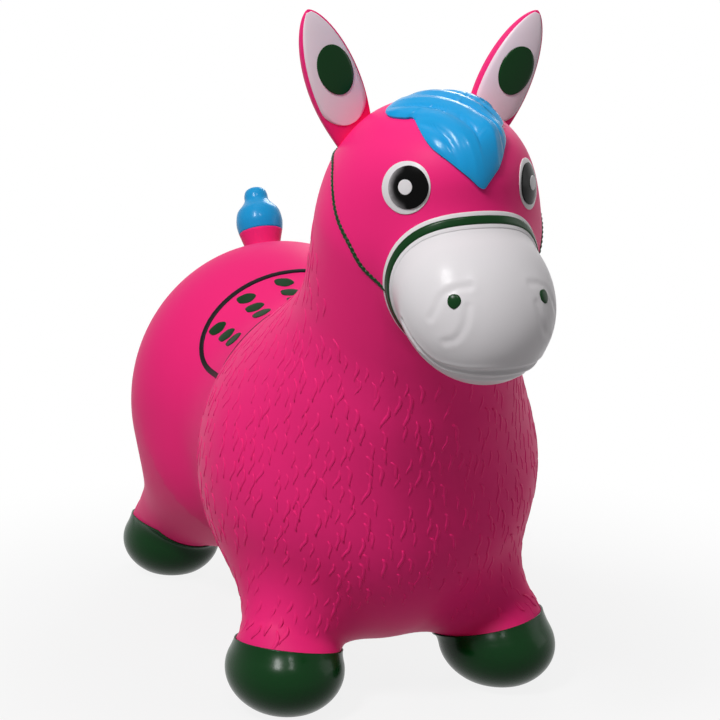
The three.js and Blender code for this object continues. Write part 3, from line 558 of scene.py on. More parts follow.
# white muzzle with its moulded mouth and nostril folds
muzzle = {
    "mouth": [
        (53, -251, 312), (46, -263.4, 296), (38, -271.4, 288), (27, -283.4, 284), (12, -291.5, 283.5),
        (0, -293, 283.5),
    ],
    "chinFold": [(43, -261, 291), (30, -272.4, 281), (16, -285.4, 278.5), (0, -289, 278)],
    "nostrilArc": [
        (43, -278, 318), (41, -280.4, 324), (37, -281.4, 332), (29, -284.4, 336.5), (21, -287.4, 338),
    ],
    "cheekFold": [(24, -292.4, 326), (26, -292.4, 315), (31, -290.4, 306), (37, -286, 303)],
    "mouthWidth": 1.8, "mouthDepth": 1.2, "chinDepth": 0.9, "foldWidth": 2.5, "foldDepth": 0.42,
    "steps": 40, "lip": 0.35, "lipAt": 1.8,
}
folds = [
    ("mouth", "mouthWidth", "mouthDepth"), ("chinFold", "mouthWidth", "chinDepth"),
    ("nostrilArc", "foldWidth", "foldDepth"), ("cheekFold", "foldWidth", "foldDepth"),
]
foldLines = []
for line, width, depth in folds:
    foldLines.append((settle(smoothPath(muzzle[line], muzzle["steps"])), muzzle[width], muzzle[depth]))


def foldLift(p):  # a groove along each fold, with a low lip beside it
    q = np.stack([np.abs(p[:, 0]), p[:, 1], p[:, 2]], 1)
    lift = np.zeros(len(p))
    for line, width, depth in foldLines:
        away = alongDistance(q, line) / width
        lift -= depth * (np.exp(-away**2) - muzzle["lip"] * np.exp(-((away - muzzle["lipAt"]) ** 2)))
    return lift


nosePoints, noseTris = finer(points, skinTris[area == "muzzle"], noseEdge)
muzzleSkin = shellPiece("muzzleSkin", nosePoints, noseTris, whitePaint, skin["wall"], foldLift)
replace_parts(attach(muzzleSkin, "head"), "muzzle")
print("muzzle made:", len(noseTris), "triangles")

# noseband on its white border
band = {
    "steps": 90, "opening": 62, "width": 6.4, "height": 1.5, "borderWidth": 12.0, "borderHeight": 0.7,
    "swing": (30, 150), "swingRounds": 18,
}
noseBack = unit(np.array(form["neckTop"], float) - np.array(form["muzzle"], float))
noseUp = np.array([0, -noseBack[2], noseBack[1]])


def onCrease(turn):  # where the muzzle's paint ends, at angles about the nose
    turn = np.atleast_1d(turn)
    out = np.cos(turn)[:, None] * np.array([1.0, 0, 0]) + np.sin(turn)[:, None] * noseUp
    before, after = [np.full(len(turn), math.radians(angle)) for angle in band["swing"]]
    start = np.repeat([form["muzzle"]], len(turn), 0).astype(float)
    for _ in range(band["swingRounds"]):
        swing = (before + after) / 2
        p = castOut(start, np.sin(swing)[:, None] * out - np.cos(swing)[:, None] * noseBack)
        short = noseField(p) < skin["noseRise"]
        before, after = np.where(short, swing, before), np.where(short, after, swing)
    return p


bandEnd = (band["opening"] - 180) / 2
bandPath = onCrease(np.radians(np.linspace(bandEnd, 180 - bandEnd, band["steps"])))
borderRibbon = layRibbon(bandPath, band["borderWidth"], band["borderHeight"])
border = meshPiece("nosebandBorder", *borderRibbon, whitePaint)
noseband = meshPiece("nosebandPaint", *layRibbon(bandPath, band["width"], band["height"]), greenPaint)
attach(border, "head")
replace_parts(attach(noseband, "head"), "noseband")

# eyes: white ground, feathered black pupil, white glint
eye = {
    "ahead": 58, "below": 1.5, "white": 17.5, "pupil": 14.0, "glint": 4.7, "rise": 0.5, "step": 0.55,
    "crown": 1.4, "aheadOfWhite": {"white": 0, "pupil": 2.9, "glint": 1.3}, "around": 56, "wobble": 0.006,
    "feather": 0.34, "featherWay": (0, 1, -0.15), "featherGain": 1.15, "featherStart": 0.05,
    "black": (0.002, 0.002, 0.002, 1), "spray": (0.60, 0.57, 0.59, 1), "sprayScale": 400, "sprayLeast": 0.6,
    "spraySpread": 0.8, "roughness": 0.22, "specular": 0.05, "grainScale": 500, "grain": 0.05,
    "grainDepth": 0.0005,
}
nostril = {
    "out": 31, "above": 5, "radius": 4.3, "taller": 1.08, "around": 36, "wobble": 0.03,
    "crown": 0.8, "rise": 0.5, "rings": 8,
}


def roundOutline(middle, across, upward, count, wobble):  # a round on the skin with a hand-painted edge
    normal = skinNormals(middle.reshape(1, 3))[0]
    u = unit(np.cross((0, 0, 1), normal))
    v = np.cross(normal, u)
    turn = np.linspace(0, 2 * math.pi, count, endpoint=False)
    rim = 1 + wobble * np.sin(3 * turn + middle[0]) + 0.6 * wobble * np.sin(5 * turn + middle[1])
    return middle + (across * rim * np.cos(turn))[:, None] * u + (upward * rim * np.sin(turn))[:, None] * v


pupilPaint = Finish("pupilPaint", eye["roughness"], specular=eye["specular"])
feather = pupilPaint.node("ShaderNodeAttribute", {"attribute_name": "feather"}, out="Fac")
sprayed = feather * (eye["sprayLeast"] + eye["spraySpread"] * pupilPaint.noise(eye["sprayScale"]))
pupilPaint.feed("Base Color", pupilPaint.mix(sprayed, eye["black"], eye["spray"]))
pupilPaint.bump(pupilPaint.noise(eye["grainScale"]), eye["grain"], eye["grainDepth"])
eyeLayers = [
    ("white", "eye_white", whitePaint, "white_paint"),
    ("pupil", "pupil", pupilPaint.material, "black_paint"),
    ("glint", "eye_glint", whitePaint, "white_paint"),
]
headAt, muzzleAt = np.array(form["head"], float), np.array(form["muzzle"], float)
for sideName, side in sides.items():
    eyeAt = castOut(headAt + (0, -eye["ahead"], -eye["below"]), (side, 0, 0))[0]
    for n, (label, node, finish, slot) in enumerate(eyeLayers):
        middle = settle(eyeAt - (0, eye["aheadOfWhite"][label], 0))[0]
        outline = roundOutline(middle, eye[label], eye[label], eye["around"], eye["wobble"])
        height = eye["rise"] + n * eye["step"]
        verts, faces, radial = layPatch(outline, eye["crown"], height, reach=eye[label] / eye["white"])
        rearward = (verts - middle) @ unit(eye["featherWay"]) / eye[label]
        nearRim = np.clip((radial - 1 + eye["feather"]) / eye["feather"], 0, 1)
        soft = nearRim * np.clip(eye["featherGain"] * rearward - eye["featherStart"], 0, 1)
        piece = meshPiece(f"{sideName}_{node}Paint", verts, faces, finish, marks={"feather": soft})
        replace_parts(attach(piece, "head"), f"{sideName}_{node}")
    nostrilAt = castOut(muzzleAt + (side * nostril["out"], 0, nostril["above"]), (0, -1, 0))[0]
    taller = nostril["radius"] * nostril["taller"]
    outline = roundOutline(nostrilAt, nostril["radius"], taller, nostril["around"], nostril["wobble"])
    verts, faces, _ = layPatch(outline, nostril["crown"], nostril["rise"], rings=nostril["rings"])
    piece = meshPiece(f"{sideName}_nostrilPaint", verts, faces, greenPaint)
    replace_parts(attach(piece, "head"), f"{sideName}_nostril")
print("face painted")


# Geometry Nodes trees: begun, ended, and grown into a plain mesh
def newTree(name, inputs):
    tree = bpy.data.node_groups.new(name, "GeometryNodeTree")
    tree.interface.new_socket("Geometry", in_out="INPUT", socket_type="NodeSocketGeometry")
    keys = {}
    for label, kind in inputs.items():
        keys[label] = tree.interface.new_socket(label, in_out="INPUT", socket_type=kind).identifier
    tree.interface.new_socket("Geometry", in_out="OUTPUT", socket_type="NodeSocketGeometry")
    bench = Bench(tree)
    entry = tree.nodes.new("NodeGroupInput")
    given = {s.name: Wire(bench, s) for s in entry.outputs if s.name}
    return bench, keys, given


def endTree(bench, geometry, finish):
    realized = bench.node("GeometryNodeRealizeInstances", {}, {"Geometry": geometry})
    painted = bench.node("GeometryNodeSetMaterial", {}, {"Geometry": realized, "Material": finish})
    bench.node("NodeGroupOutput", {}, {"Geometry": painted})


def grow(name, source, bench, keys, values):  # the tree works on an object that only carries the source
    carrier = addObject(name, source)
    modifier = carrier.modifiers.new(name, "NODES")
    modifier.node_group = bench.tree
    for label, value in values.items():
        modifier[keys[label]] = value
    bpy.context.view_layer.update()
    mesh = bpy.data.meshes.new_from_object(carrier.evaluated_get(bpy.context.evaluated_depsgraph_get()))
    carrier.modifiers.clear()
    bpy.data.objects.remove(carrier)
    mesh.name = name
    mesh.shade_smooth()
    return addObject(name, mesh)


# cheek straps: a twisted rope in relief, laid along a curve
rope = {"radius": 1.75, "strands": 3, "depth": 0.14, "lay": 11, "rise": -0.85, "around": 18}
strap = {
    "path": [
        (51, -227.4, 322), (64, -211.4, 339), (71, -201.4, 357), (75, -188.4, 374), (68, -163.4, 404),
        (53, -128, 418), (22, -125.4, 438.8), (0, -125.4, 443.5),
    ],
    "points": 150,
}
ropeSockets = {"Radius": "NodeSocketFloat", "Turns": "NodeSocketFloat"}
ropeBench, ropeKeys, ropeIn = newTree("twistedRope", ropeSockets)
roundRope = {"Resolution": rope["around"], "Radius": 1.0}
circle = ropeBench.node("GeometryNodeCurvePrimitiveCircle", {}, roundRope)
index = ropeBench.node("GeometryNodeInputIndex")
lobeTurn = index * (2 * math.pi * rope["strands"] / rope["around"])
swell = 1 + rope["depth"] * ropeBench.node("ShaderNodeMath", {"operation": "COSINE"}, {0: lobeTurn})
onCircle = ropeBench.node("GeometryNodeInputPosition")
scaled = {0: onCircle, "Scale": swell * ropeIn["Radius"]}
strand = ropeBench.node("ShaderNodeVectorMath", {"operation": "SCALE"}, scaled)
profile = ropeBench.node("GeometryNodeSetPosition", {}, {"Geometry": circle, "Position": strand})
reach = ropeBench.node("GeometryNodeSplineParameter", out="Factor")
twist = {"Curve": ropeIn["Geometry"], "Tilt": reach * ropeIn["Turns"] * (2 * math.pi)}
tilted = ropeBench.node("GeometryNodeSetCurveTilt", {}, twist)
sweep = {"Curve": tilted, "Profile Curve": profile, "Fill Caps": True}
endTree(ropeBench, ropeBench.node("GeometryNodeCurveToMesh", {}, sweep), greenPaint)

for sideName, side in sides.items():
    way = settle(smoothPath(strap["path"], strap["points"]) * (side, 1, 1))
    way = way + skinNormals(way) * rope["rise"]
    curve = bpy.data.curves.new(f"{sideName}Strap", "CURVE")
    curve.dimensions = "3D"
    spline = curve.splines.new("POLY")
    spline.points.add(len(way) - 1)
    spline.points.foreach_set("co", np.c_[way * mm, np.ones(len(way))].astype(np.float32).ravel())
    length = np.linalg.norm(np.diff(way, axis=0), axis=1).sum()
    values = {"Radius": rope["radius"] * mm, "Turns": side * length / rope["lay"]}
    piece = grow(f"{sideName}_cheekRope", curve, ropeBench, ropeKeys, values)
    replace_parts(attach(piece, "head"), f"{sideName}_cheek_strap")
print("headstall laid")

# forelock: a lobed tuft combed from the poll to between the eyes
forelock = {
    "edge": [
        (1, -262, 396), (12, -256, 408), (20, -249, 420), (25, -240, 427), (25, -231, 432), (31, -222, 436),
        (33, -211, 440), (31, -203, 443), (37, -192, 441), (38, -182, 441), (33, -175, 444), (18, -171, 448),
        (0, -170, 450), (-18, -171, 448), (-33, -178, 444), (-39, -187, 441), (-39, -198, 440),
        (-34, -208, 439), (-30, -213, 439), (-31, -224, 434), (-31, -234, 428), (-28, -242, 421),
        (-20, -250, 413), (-10, -257, 404),
    ],
    "perPoint": 8, "overlap": 3, "rings": 26, "crown": 3.8, "rim": 1.7,
    "combMiddle": -215, "combDepth": 1.9, "combPitch": 17, "combSweep": 0.4, "crease": 0.7, "wave": 5,
    "waveRun": 17, "finePitch": 5.5, "fineDepth": 0.26, "fineDrift": 0.05,
    "curl": (13, -243, 428), "curlRise": 6.2, "curlReach": 12,
}
closedEdge = np.array(forelock["edge"] + forelock["edge"][:forelock["overlap"]], float)
lockRun = smoothPath(closedEdge, len(closedEdge) * forelock["perPoint"])
lockOutline = settle(lockRun[forelock["perPoint"]:forelock["perPoint"] * (len(forelock["edge"]) + 1)])


def comb(p, share):  # wavy locks, fine hairs and one curl, fading out at the rim
    down = p[:, 1] - forelock["combMiddle"]
    across = p[:, 0] + forelock["combSweep"] * down + forelock["wave"] * np.sin(down / forelock["waveRun"])
    ridge = 1 - 2 * np.abs(np.sin(across * math.pi / forelock["combPitch"])) ** forelock["crease"]
    fromCurl = np.linalg.norm(p - np.array(forelock["curl"], float), axis=1)
    curl = np.exp(-(fromCurl / forelock["curlReach"]) ** 2)
    fine = np.sin(across * 2 * math.pi / forelock["finePitch"] + forelock["fineDrift"] * down)
    relief = forelock["combDepth"] * -ridge + forelock["fineDepth"] * fine + forelock["curlRise"] * curl
    return relief * (1 - share**3)


crown, rim, rings = forelock["crown"], forelock["rim"], forelock["rings"]
verts, faces, _ = layPatch(lockOutline, crown, rim, rings=rings, extra=comb)
lock = meshPiece("forelockTuft", verts, faces, bluePaint)
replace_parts(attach(lock, "head"), "forelock")
print("forelock combed")

# ears, each in its own axes: x across, y to the back, z to the tip
ear = {
    "length": 102, "rootHalfWidth": 12, "halfWidth": 19, "halfThickness": 10.5, "widest": 0.44,
    "tipPoint": 0.64, "backSquare": 0.5, "frontBulge": 0.46, "bottom": -20, "levels": 44, "around": 56,
    "tipRun": 12, "tipLevels": 12, "tipShares": (0.06, 0.995),
    "rim": 1.5, "liningLow": 19, "liningTop": 100.2, "liningRound": 15, "liningLeast": 0.2,
    "coat": 0.45, "coatSunk": 0.5, "coatShares": (0.02, 0.98), "coatLevels": 36, "coatAcross": 13,
    "spotUp": 58, "spotHalfLength": 17.5, "spotHalfWidth": 12.5, "spotDrift": 2.2,
    "bendLow": 14, "bendHigh": 36, "origin": (44, -148.4, 416), "xAxis": (0.91706, 0, -0.39875),
    "yAxis": (0.04168, 0.99452, 0.09586), "zAxis": (0.39656, -0.10453, 0.91204),
}


def earWidth(z):
    t = np.clip(np.asarray(z, float) / ear["length"], 0, 1)
    opening = np.sin(np.minimum(t / ear["widest"], 1) * math.pi / 2)
    closing = np.maximum((t - ear["widest"]) / (1 - ear["widest"]), 0)
    opened = ear["rootHalfWidth"] + (ear["halfWidth"] - ear["rootHalfWidth"]) * opening
    return opened * np.maximum(1 - closing**2, 0) ** ear["tipPoint"]


def earDepth(z):
    return ear["halfThickness"] * earWidth(z) / ear["halfWidth"]


def earFront(x, z):  # the front face, a little full
    share = np.clip(np.abs(x) / np.maximum(earWidth(z), 1e-6), 0, 1)
    return -ear["frontBulge"] * earDepth(z) * np.sqrt(1 - share**2)


def squarer(v):  # the back of the ear, fuller than round
    return np.sign(v) * np.abs(v) ** ear["backSquare"]


def liningHalf(z):  # as wide as the ear less its rim, round at the foot
    foot = np.clip((ear["liningLow"] + ear["liningRound"] - z) / ear["liningRound"], 0, 0.999)
    return np.maximum(earWidth(z) - ear["rim"], ear["liningLeast"]) * np.sqrt(1 - foot**2)


def earSpotHalf(z):
    share = (z - ear["spotUp"]) / ear["spotHalfLength"]
    return ear["spotHalfWidth"] * math.sqrt(max(1 - share**2, 0.002))


def inEar(p, side):  # ear axes into the frame
    axes = np.array([ear["xAxis"], ear["yAxis"], ear["zAxis"]])
    return (np.asarray(p, float) @ axes + ear["origin"]) * (side, 1, 1)


def earCoat(halfAt, low, high, lift, side, drift=0):  # a coat on the ear's front
    shares = np.linspace(*ear["coatShares"], ear["coatLevels"])
    rings = []
    for z in low + (high - low) * (1 - np.cos(shares * math.pi)) / 2:
        x = np.linspace(-1, 1, ear["coatAcross"]) * halfAt(z) + drift * side
        top = np.stack([x, earFront(x, z) - lift, np.full(len(x), z)], 1)
        under = np.stack([x[::-1], earFront(x[::-1], z) + ear["coatSunk"], np.full(len(x), z)], 1)
        rings.append(inEar(np.concatenate([top, under]), side))
    verts, faces = ringsMesh(rings)
    return verts, outward(verts, faces)


tipStart = ear["length"] - ear["tipRun"]
tipShares = np.linspace(*ear["tipShares"], ear["tipLevels"])
tipHeights = tipStart + ear["tipRun"] * np.sin(tipShares * math.pi / 2)
earHeights = np.concatenate([np.linspace(ear["bottom"], tipStart, ear["levels"]), tipHeights])
spotLow, spotHigh = ear["spotUp"] - ear["spotHalfLength"], ear["spotUp"] + ear["spotHalfLength"]
for sideName, side in sides.items():
    turn = np.linspace(0, 2 * math.pi, ear["around"], endpoint=False)
    rings = []
    for z in earHeights:
        x = earWidth(z) * np.where(np.sin(turn) < 0, np.cos(turn), squarer(np.cos(turn)))
        y = np.where(np.sin(turn) < 0, earFront(x, z), earDepth(z) * squarer(np.sin(turn)))
        rings.append(inEar(np.stack([x, y, np.full(len(turn), z)], 1), side))
    verts, faces = ringsMesh(rings)
    leaf = meshPiece(f"{sideName}_earLeaf", verts, outward(verts, faces), pinkVinyl)
    liningCoat = earCoat(liningHalf, ear["liningLow"], ear["liningTop"], ear["coat"], side)
    # the lining takes the lighter ear white: painted light
    lining = meshPiece(f"{sideName}_earLining", *liningCoat, earWhite)
    spotCoat = earCoat(earSpotHalf, spotLow, spotHigh, 2 * ear["coat"], side, ear["spotDrift"])
    dot = meshPiece(f"{sideName}_earSpot", *spotCoat, greenPaint)
    bend = [tuple(inEar([[0, 0, h]], side)[0] * mm) for h in (ear["bendLow"], ear["bendHigh"])]
    for piece in (leaf, lining):
        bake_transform(piece)
    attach(dot, f"{sideName}_ear")
    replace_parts(leaf, f"{sideName}_ear", f"{sideName}_ear_root")
    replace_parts(lining, f"{sideName}_ear_lining")
    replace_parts(dot, f"{sideName}_ear_spot")
print("ears made")

# tail: pink stem and blue tuft, turned about one leaning axis
tail = {
    "seat": (0, 223.62, 295.86), "axis": (0, 0.42262, 0.90631), "low": -14, "paint": 19.5, "top": 62.5,
    "outline": [
        (19, -14), (16, -2), (16, 6), (18, 14), (20.2, 22), (21, 30), (19, 39.5), (14, 45.5), (11, 50),
        (10.6, 55), (8.8, 59.6), (4.5, 62), (0.2, 62.5),
    ],
    "steps": 60, "around": 44, "levels": 26, "tipRun": 8, "tipLevels": 10, "tipFirst": 0.08,
    "bendLow": 2, "bendHigh": 19,
}
tailPath = smoothPath([(r, 0, z) for r, z in tail["outline"]], tail["steps"])


def tailProfile(heights):
    return [(np.interp(z, tailPath[:, 2], tailPath[:, 0]), z) for z in heights]


def onTail(z):
    return tuple((np.array(tail["seat"]) + z * unit(tail["axis"])) * mm)


def turned(name, profile, seat, axis, around, finish, loop=False):
    axis = unit(axis)
    u = unit(np.cross(axis, (1, 0, 0)))
    v = np.cross(axis, u)
    turn = np.linspace(0, 2 * math.pi, around, endpoint=False)
    spokes = np.cos(turn)[:, None] * u + np.sin(turn)[:, None] * v
    verts, faces = ringsMesh([np.array(seat) + r * spokes + z * axis for r, z in profile], loop)
    return meshPiece(name, verts, outward(verts, faces), finish)


tuftShoulder = tail["top"] - tail["tipRun"]
tuftShares = np.linspace(tail["tipFirst"], 1, tail["tipLevels"])
tuftTip = tuftShoulder + tail["tipRun"] * np.sin(tuftShares * math.pi / 2)
stemHeights = np.linspace(tail["low"], tail["paint"], tail["levels"])
tuftHeights = np.concatenate([np.linspace(tail["paint"], tuftShoulder, tail["levels"]), tuftTip])
stem = turned("tailStem", tailProfile(stemHeights), tail["seat"], tail["axis"], tail["around"], pinkVinyl)
tuft = turned("tailTuft", tailProfile(tuftHeights), tail["seat"], tail["axis"], tail["around"], bluePaint)
onTail(tail["bendLow"])
onTail(tail["bendHigh"])
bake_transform(stem)
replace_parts(stem, "tail_root", "tail_stem")
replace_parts(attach(tuft, "tail"), "tail_tuft")
print("tail turned")

# saddle print: a black outline with rows of green spots
saddle = {
    "axisHeight": 180, "halfAngle": 66, "halfLength": 56, "corner": 3.5, "line": 4.6, "rise": 0.9,
    "middle": 62.6, "steps": 220, "rows": 3, "across": 6, "pitchAngle": 19, "inset": 11, "rowPitch": 14,
    "spotHalf": (8.2, 5.2), "spotLean": 0.5, "spotRise": 0.7, "spotCrown": 0.3, "spotDome": 0.8,
    "spotSunk": 0.9, "spotWobble": (0.05, 0.03), "spotAround": 28, "spotRings": 6, "spotFirst": 0.08,
    "spotUnder": 0.4, "bow": 105,
}


def onBack(angle, y):  # the skin at an angle about a line through the trunk
    angle, y = np.atleast_1d(angle), np.atleast_1d(y)
    start = np.stack([0 * y, y, 0 * y + saddle["axisHeight"]], 1)
    return castOut(start, np.stack([np.sin(angle), 0 * angle, np.cos(angle)], 1))


def rounded(c):
    return np.sign(c) * np.abs(c) ** (2 / saddle["corner"])


turn = np.linspace(0, 2 * math.pi, saddle["steps"], endpoint=False)
saddleAngle = math.radians(saddle["halfAngle"])
saddleBack = saddle["middle"] + saddle["halfLength"] * rounded(np.sin(turn))
loop = onBack(saddleAngle * rounded(np.cos(turn)), saddleBack)
closedLoop = np.r_[loop, loop[:1]]
steps = np.r_[0, np.cumsum(np.linalg.norm(np.diff(closedLoop, axis=0), axis=1))]
even = np.linspace(0, steps[-1], saddle["steps"] + 1)
loop = settle(np.stack([np.interp(even, steps, closedLoop[:, k]) for k in range(3)], 1))
line = meshPiece("saddleLine", *layRibbon(loop, saddle["line"], saddle["rise"]), blackPaint)
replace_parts(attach(line, "torso"), "saddle_outline")


def spotMesh():  # one spot, bowed like the back below it
    turn = np.linspace(0, 2 * math.pi, saddle["spotAround"], endpoint=False)
    rim = 1 + saddle["spotWobble"][0] * np.sin(3 * turn) + saddle["spotWobble"][1] * np.sin(5 * turn + 1)
    x, y = saddle["spotHalf"][0] * rim * np.cos(turn), saddle["spotHalf"][1] * rim * np.sin(turn)
    shares = np.sin(np.linspace(saddle["spotFirst"], 1, saddle["spotRings"]) * math.pi / 2)
    dome = saddle["spotRise"] + saddle["spotCrown"] * (1 - shares**2) ** saddle["spotDome"]
    rings = []
    underside = [(share, -saddle["spotSunk"]) for share in (1, saddle["spotUnder"])]
    for share, lift in [*zip(shares, dome), *underside]:
        bowed = lift - (x * share) ** 2 / (2 * saddle["bow"])
        rings.append(np.stack([x * share, y * share, bowed], 1))
    verts, faces = ringsMesh(rings)
    return meshPiece("saddleSpot", verts, outward(verts, faces), greenPaint)


spotBench, spotKeys, spotIn = newTree("printedSpots", {"Spot": "NodeSocketObject"})
vectorNamed = ("GeometryNodeInputNamedAttribute", {"data_type": "FLOAT_VECTOR"})
faceTo = [spotBench.node(*vectorNamed, {"Name": label}) for label in ("outward", "longWay")]
upAndAlong = {"primary_axis": "Z", "secondary_axis": "X"}
laid = spotBench.node("FunctionNodeAxesToRotation", upAndAlong, {0: faceTo[0], 1: faceTo[1]})
spotShape = spotBench.node("GeometryNodeObjectInfo", {}, {"Object": spotIn["Spot"]}, out="Geometry")
dotted = {"Points": spotIn["Geometry"], "Instance": spotShape, "Rotation": laid}
endTree(spotBench, spotBench.node("GeometryNodeInstanceOnPoints", {}, dotted), greenPaint)

angles = np.radians((np.arange(saddle["across"]) - (saddle["across"] - 1) / 2) * saddle["pitchAngle"])
outlineBack = (1 - np.abs(angles / saddleAngle) ** saddle["corner"]) ** (1 / saddle["corner"])
reachBack = saddle["halfLength"] * outlineBack
rowBack = saddle["middle"] - saddle["inset"] - np.arange(saddle["rows"]) * saddle["rowPitch"]
spotAngles = np.tile(angles, saddle["rows"])
spotAt = onBack(spotAngles, (rowBack[:, None] + reachBack).ravel())
aroundBack = np.stack([np.cos(spotAngles), 0 * spotAngles, -np.sin(spotAngles)], 1)
toRidge = -np.sign(spotAngles)[:, None] * aroundBack
longWay = unit(toRidge - saddle["spotLean"] * np.array([0, 1, 0]))
spotPoints = bpy.data.meshes.new("spotPoints")
spotPoints.from_pydata((spotAt * mm).tolist(), [], [])
for label, values in [("outward", skinNormals(spotAt)), ("longWay", longWay)]:
    vectors = spotPoints.attributes.new(label, "FLOAT_VECTOR", "POINT")
    vectors.data.foreach_set("vector", values.astype(np.float32).ravel())
oneSpot = spotMesh()
spots = grow("saddleSpots", spotPoints, spotBench, spotKeys, {"Spot": oneSpot})
bpy.data.objects.remove(oneSpot)
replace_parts(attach(spots, "torso"), *[f"saddle_spot_{n}" for n in range(1, 13)])
print("saddle printed")

# inflation valve on the rump
valve = {
    "around": 48,
    "seat": [
        (6.2, -11), (9, -11), (9, -1.6), (12.6, -1.6), (13.1, -1), (13.1, 0.9), (12.4, 1.6), (7, 1.7),
        (6.3, 1.2),
    ],
    "plug": [
        (0.2, -11), (5.4, -11), (6, -10.2), (6, 2.1), (9.5, 2.1), (10, 2.5), (10, 3.8), (9.4, 4.4),
        (7.2, 4.4), (6.6, 3.8), (3.4, 3.8), (2.8, 4.4), (0.2, 4.4),
    ],
}
holeAt, holeAxis = skin["holeAt"], skin["holeAxis"]
seat = turned("valveSeat", valve["seat"], holeAt, holeAxis, valve["around"], valvePlastic, loop=True)
plug = turned("valvePlug", valve["plug"], holeAt, holeAxis, valve["around"], valvePlastic)
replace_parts(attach(seat, "torso"), "valve_seat")
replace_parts(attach(plug, "plug"), "valve_plug")
print("valve fitted")

# hair strokes moulded on the chest, neck and front legs
hair = {
    "length": 15.0, "width": 3.6, "height": 0.40, "sunk": 0.2, "curl": 3.4, "rings": 7,
    "lean": 2.6, "wayLow": (-0.28, -0.1, -1.0), "wayHigh": (0.28, 0.4, -0.8), "smallest": 0.75,
    "largest": 1.15, "density": 14000.0, "gap": 0.0075, "seed": 7, "lowest": 60, "underside": -0.55,
    "fadeFrom": -2.0, "fadeTo": -46.0,
    "neckReach": 92, "neckFade": 22, "faceLine": -172, "faceFade": 16, "throatReach": 26, "throatFade": 18,
}


def strokeMesh():  # a low S with fine ends
    rings = []
    for t in np.linspace(0, 1, hair["rings"]):
        half = hair["width"] / 2 * math.sin(math.pi * (0.10 + 0.84 * t)) ** 0.7
        x, y = (t - 0.5) * hair["length"], hair["curl"] * (math.sin(t * 5.2) * 0.4 + t - 0.5)
        top = hair["height"] * math.sin(math.pi * (0.06 + 0.88 * t)) ** 0.6
        arch = [(-1, -hair["sunk"]), (-0.45, top * 0.8), (0.25, top), (1, -hair["sunk"])]
        rings.append(np.array([(x, y + half * u, v) for u, v in arch]))
    verts, faces = ringsMesh(rings)
    return meshPiece("hairStroke", verts, outward(verts, faces), pinkVinyl)


def hairMask(p, onNeck):  # where the strokes grow, from 0 to 1
    keep = np.clip((hair["fadeFrom"] - p[:, 1]) / (hair["fadeFrom"] - hair["fadeTo"]), 0, 1)
    if onNeck:
        keep = np.clip((hair["neckReach"] + neckEdge(p)) / hair["neckFade"], 0, 1)
        keep = keep * np.clip((p[:, 1] - hair["faceLine"]) / hair["faceFade"], 0, 1)
        throat = np.clip((hair["throatReach"] + neckEdge(p)) / hair["throatFade"], 0, 1)
        keep = np.maximum(keep, throat)
    keep[len(p) // 2:] = 0  # none on the inner wall
    return keep * ((p[:, 2] > hair["lowest"]) & (skinNormals(p)[:, 2] > hair["underside"]))


hairInputs = {"Stroke": "Object", "Density": "Float", "Gap": "Float", "Seed": "Int"}
hairSockets = {label: f"NodeSocket{kind}" for label, kind in hairInputs.items()}
hairBench, hairKeys, hairIn = newTree("hairStrokes", hairSockets)
mask = hairBench.node("GeometryNodeInputNamedAttribute", {"data_type": "FLOAT"}, {"Name": "hairMask"})
sown = {
    "Mesh": hairIn["Geometry"], "Distance Min": hairIn["Gap"], "Density Max": hairIn["Density"],
    "Density Factor": mask, "Seed": hairIn["Seed"],
}
scatter = hairBench.node("GeometryNodeDistributePointsOnFaces", {"distribute_method": "POISSON"}, sown)
outNormal = Wire(hairBench, scatter.socket.node.outputs["Normal"])
wayRange = {"Min": hair["wayLow"], "Max": hair["wayHigh"], "Seed": hairIn["Seed"]}
jitter = hairBench.node("FunctionNodeRandomValue", {"data_type": "FLOAT_VECTOR"}, wayRange)
onSkin = hairBench.node("GeometryNodeInputPosition")
partWay = {0: onSkin, 1: (hair["lean"], 0, 0)}  # combed out from the middle
parted = hairBench.node("ShaderNodeVectorMath", {"operation": "MULTIPLY"}, partWay)
lieAlong = hairBench.node("ShaderNodeVectorMath", {"operation": "ADD"}, {0: jitter, 1: parted})
turnTo = hairBench.node("FunctionNodeAxesToRotation", upAndAlong, {0: outNormal, 1: lieAlong})
stroke = hairBench.node("GeometryNodeObjectInfo", {}, {"Object": hairIn["Stroke"]}, out="Geometry")
sizeRange = {2: hair["smallest"], 3: hair["largest"], "Seed": hairIn["Seed"]}
size = hairBench.node("FunctionNodeRandomValue", {"data_type": "FLOAT"}, sizeRange, out=1)
planted = {"Points": scatter, "Instance": stroke, "Rotation": turnTo, "Scale": size}
endTree(hairBench, hairBench.node("GeometryNodeInstanceOnPoints", {}, planted), pinkVinyl)

strokeShape = strokeMesh()
for name, piece, bend in [("bodyHair", bodySkin, "legs"), ("neckHair", headSkin, "neck")]:
    co = np.zeros(len(piece.data.vertices) * 3, np.float32)
    piece.data.vertices.foreach_get("co", co)
    keep = hairMask(co.reshape(-1, 3).astype(float) / mm, bend == "neck")
    mark = piece.data.attributes.new("hairMask", "FLOAT", "POINT")
    mark.data.foreach_set("value", keep.astype(np.float32))
    values = {"Stroke": strokeShape, "Density": hair["density"], "Gap": hair["gap"], "Seed": hair["seed"]}
    tufts = grow(name, piece.data, hairBench, hairKeys, values)
    if bend == "legs":
        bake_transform(tufts)
    else:
        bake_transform(tufts)
    print(name, len(tufts.data.polygons), "faces")
bpy.data.objects.remove(strokeShape)
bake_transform(bodySkin)
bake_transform(headSkin)

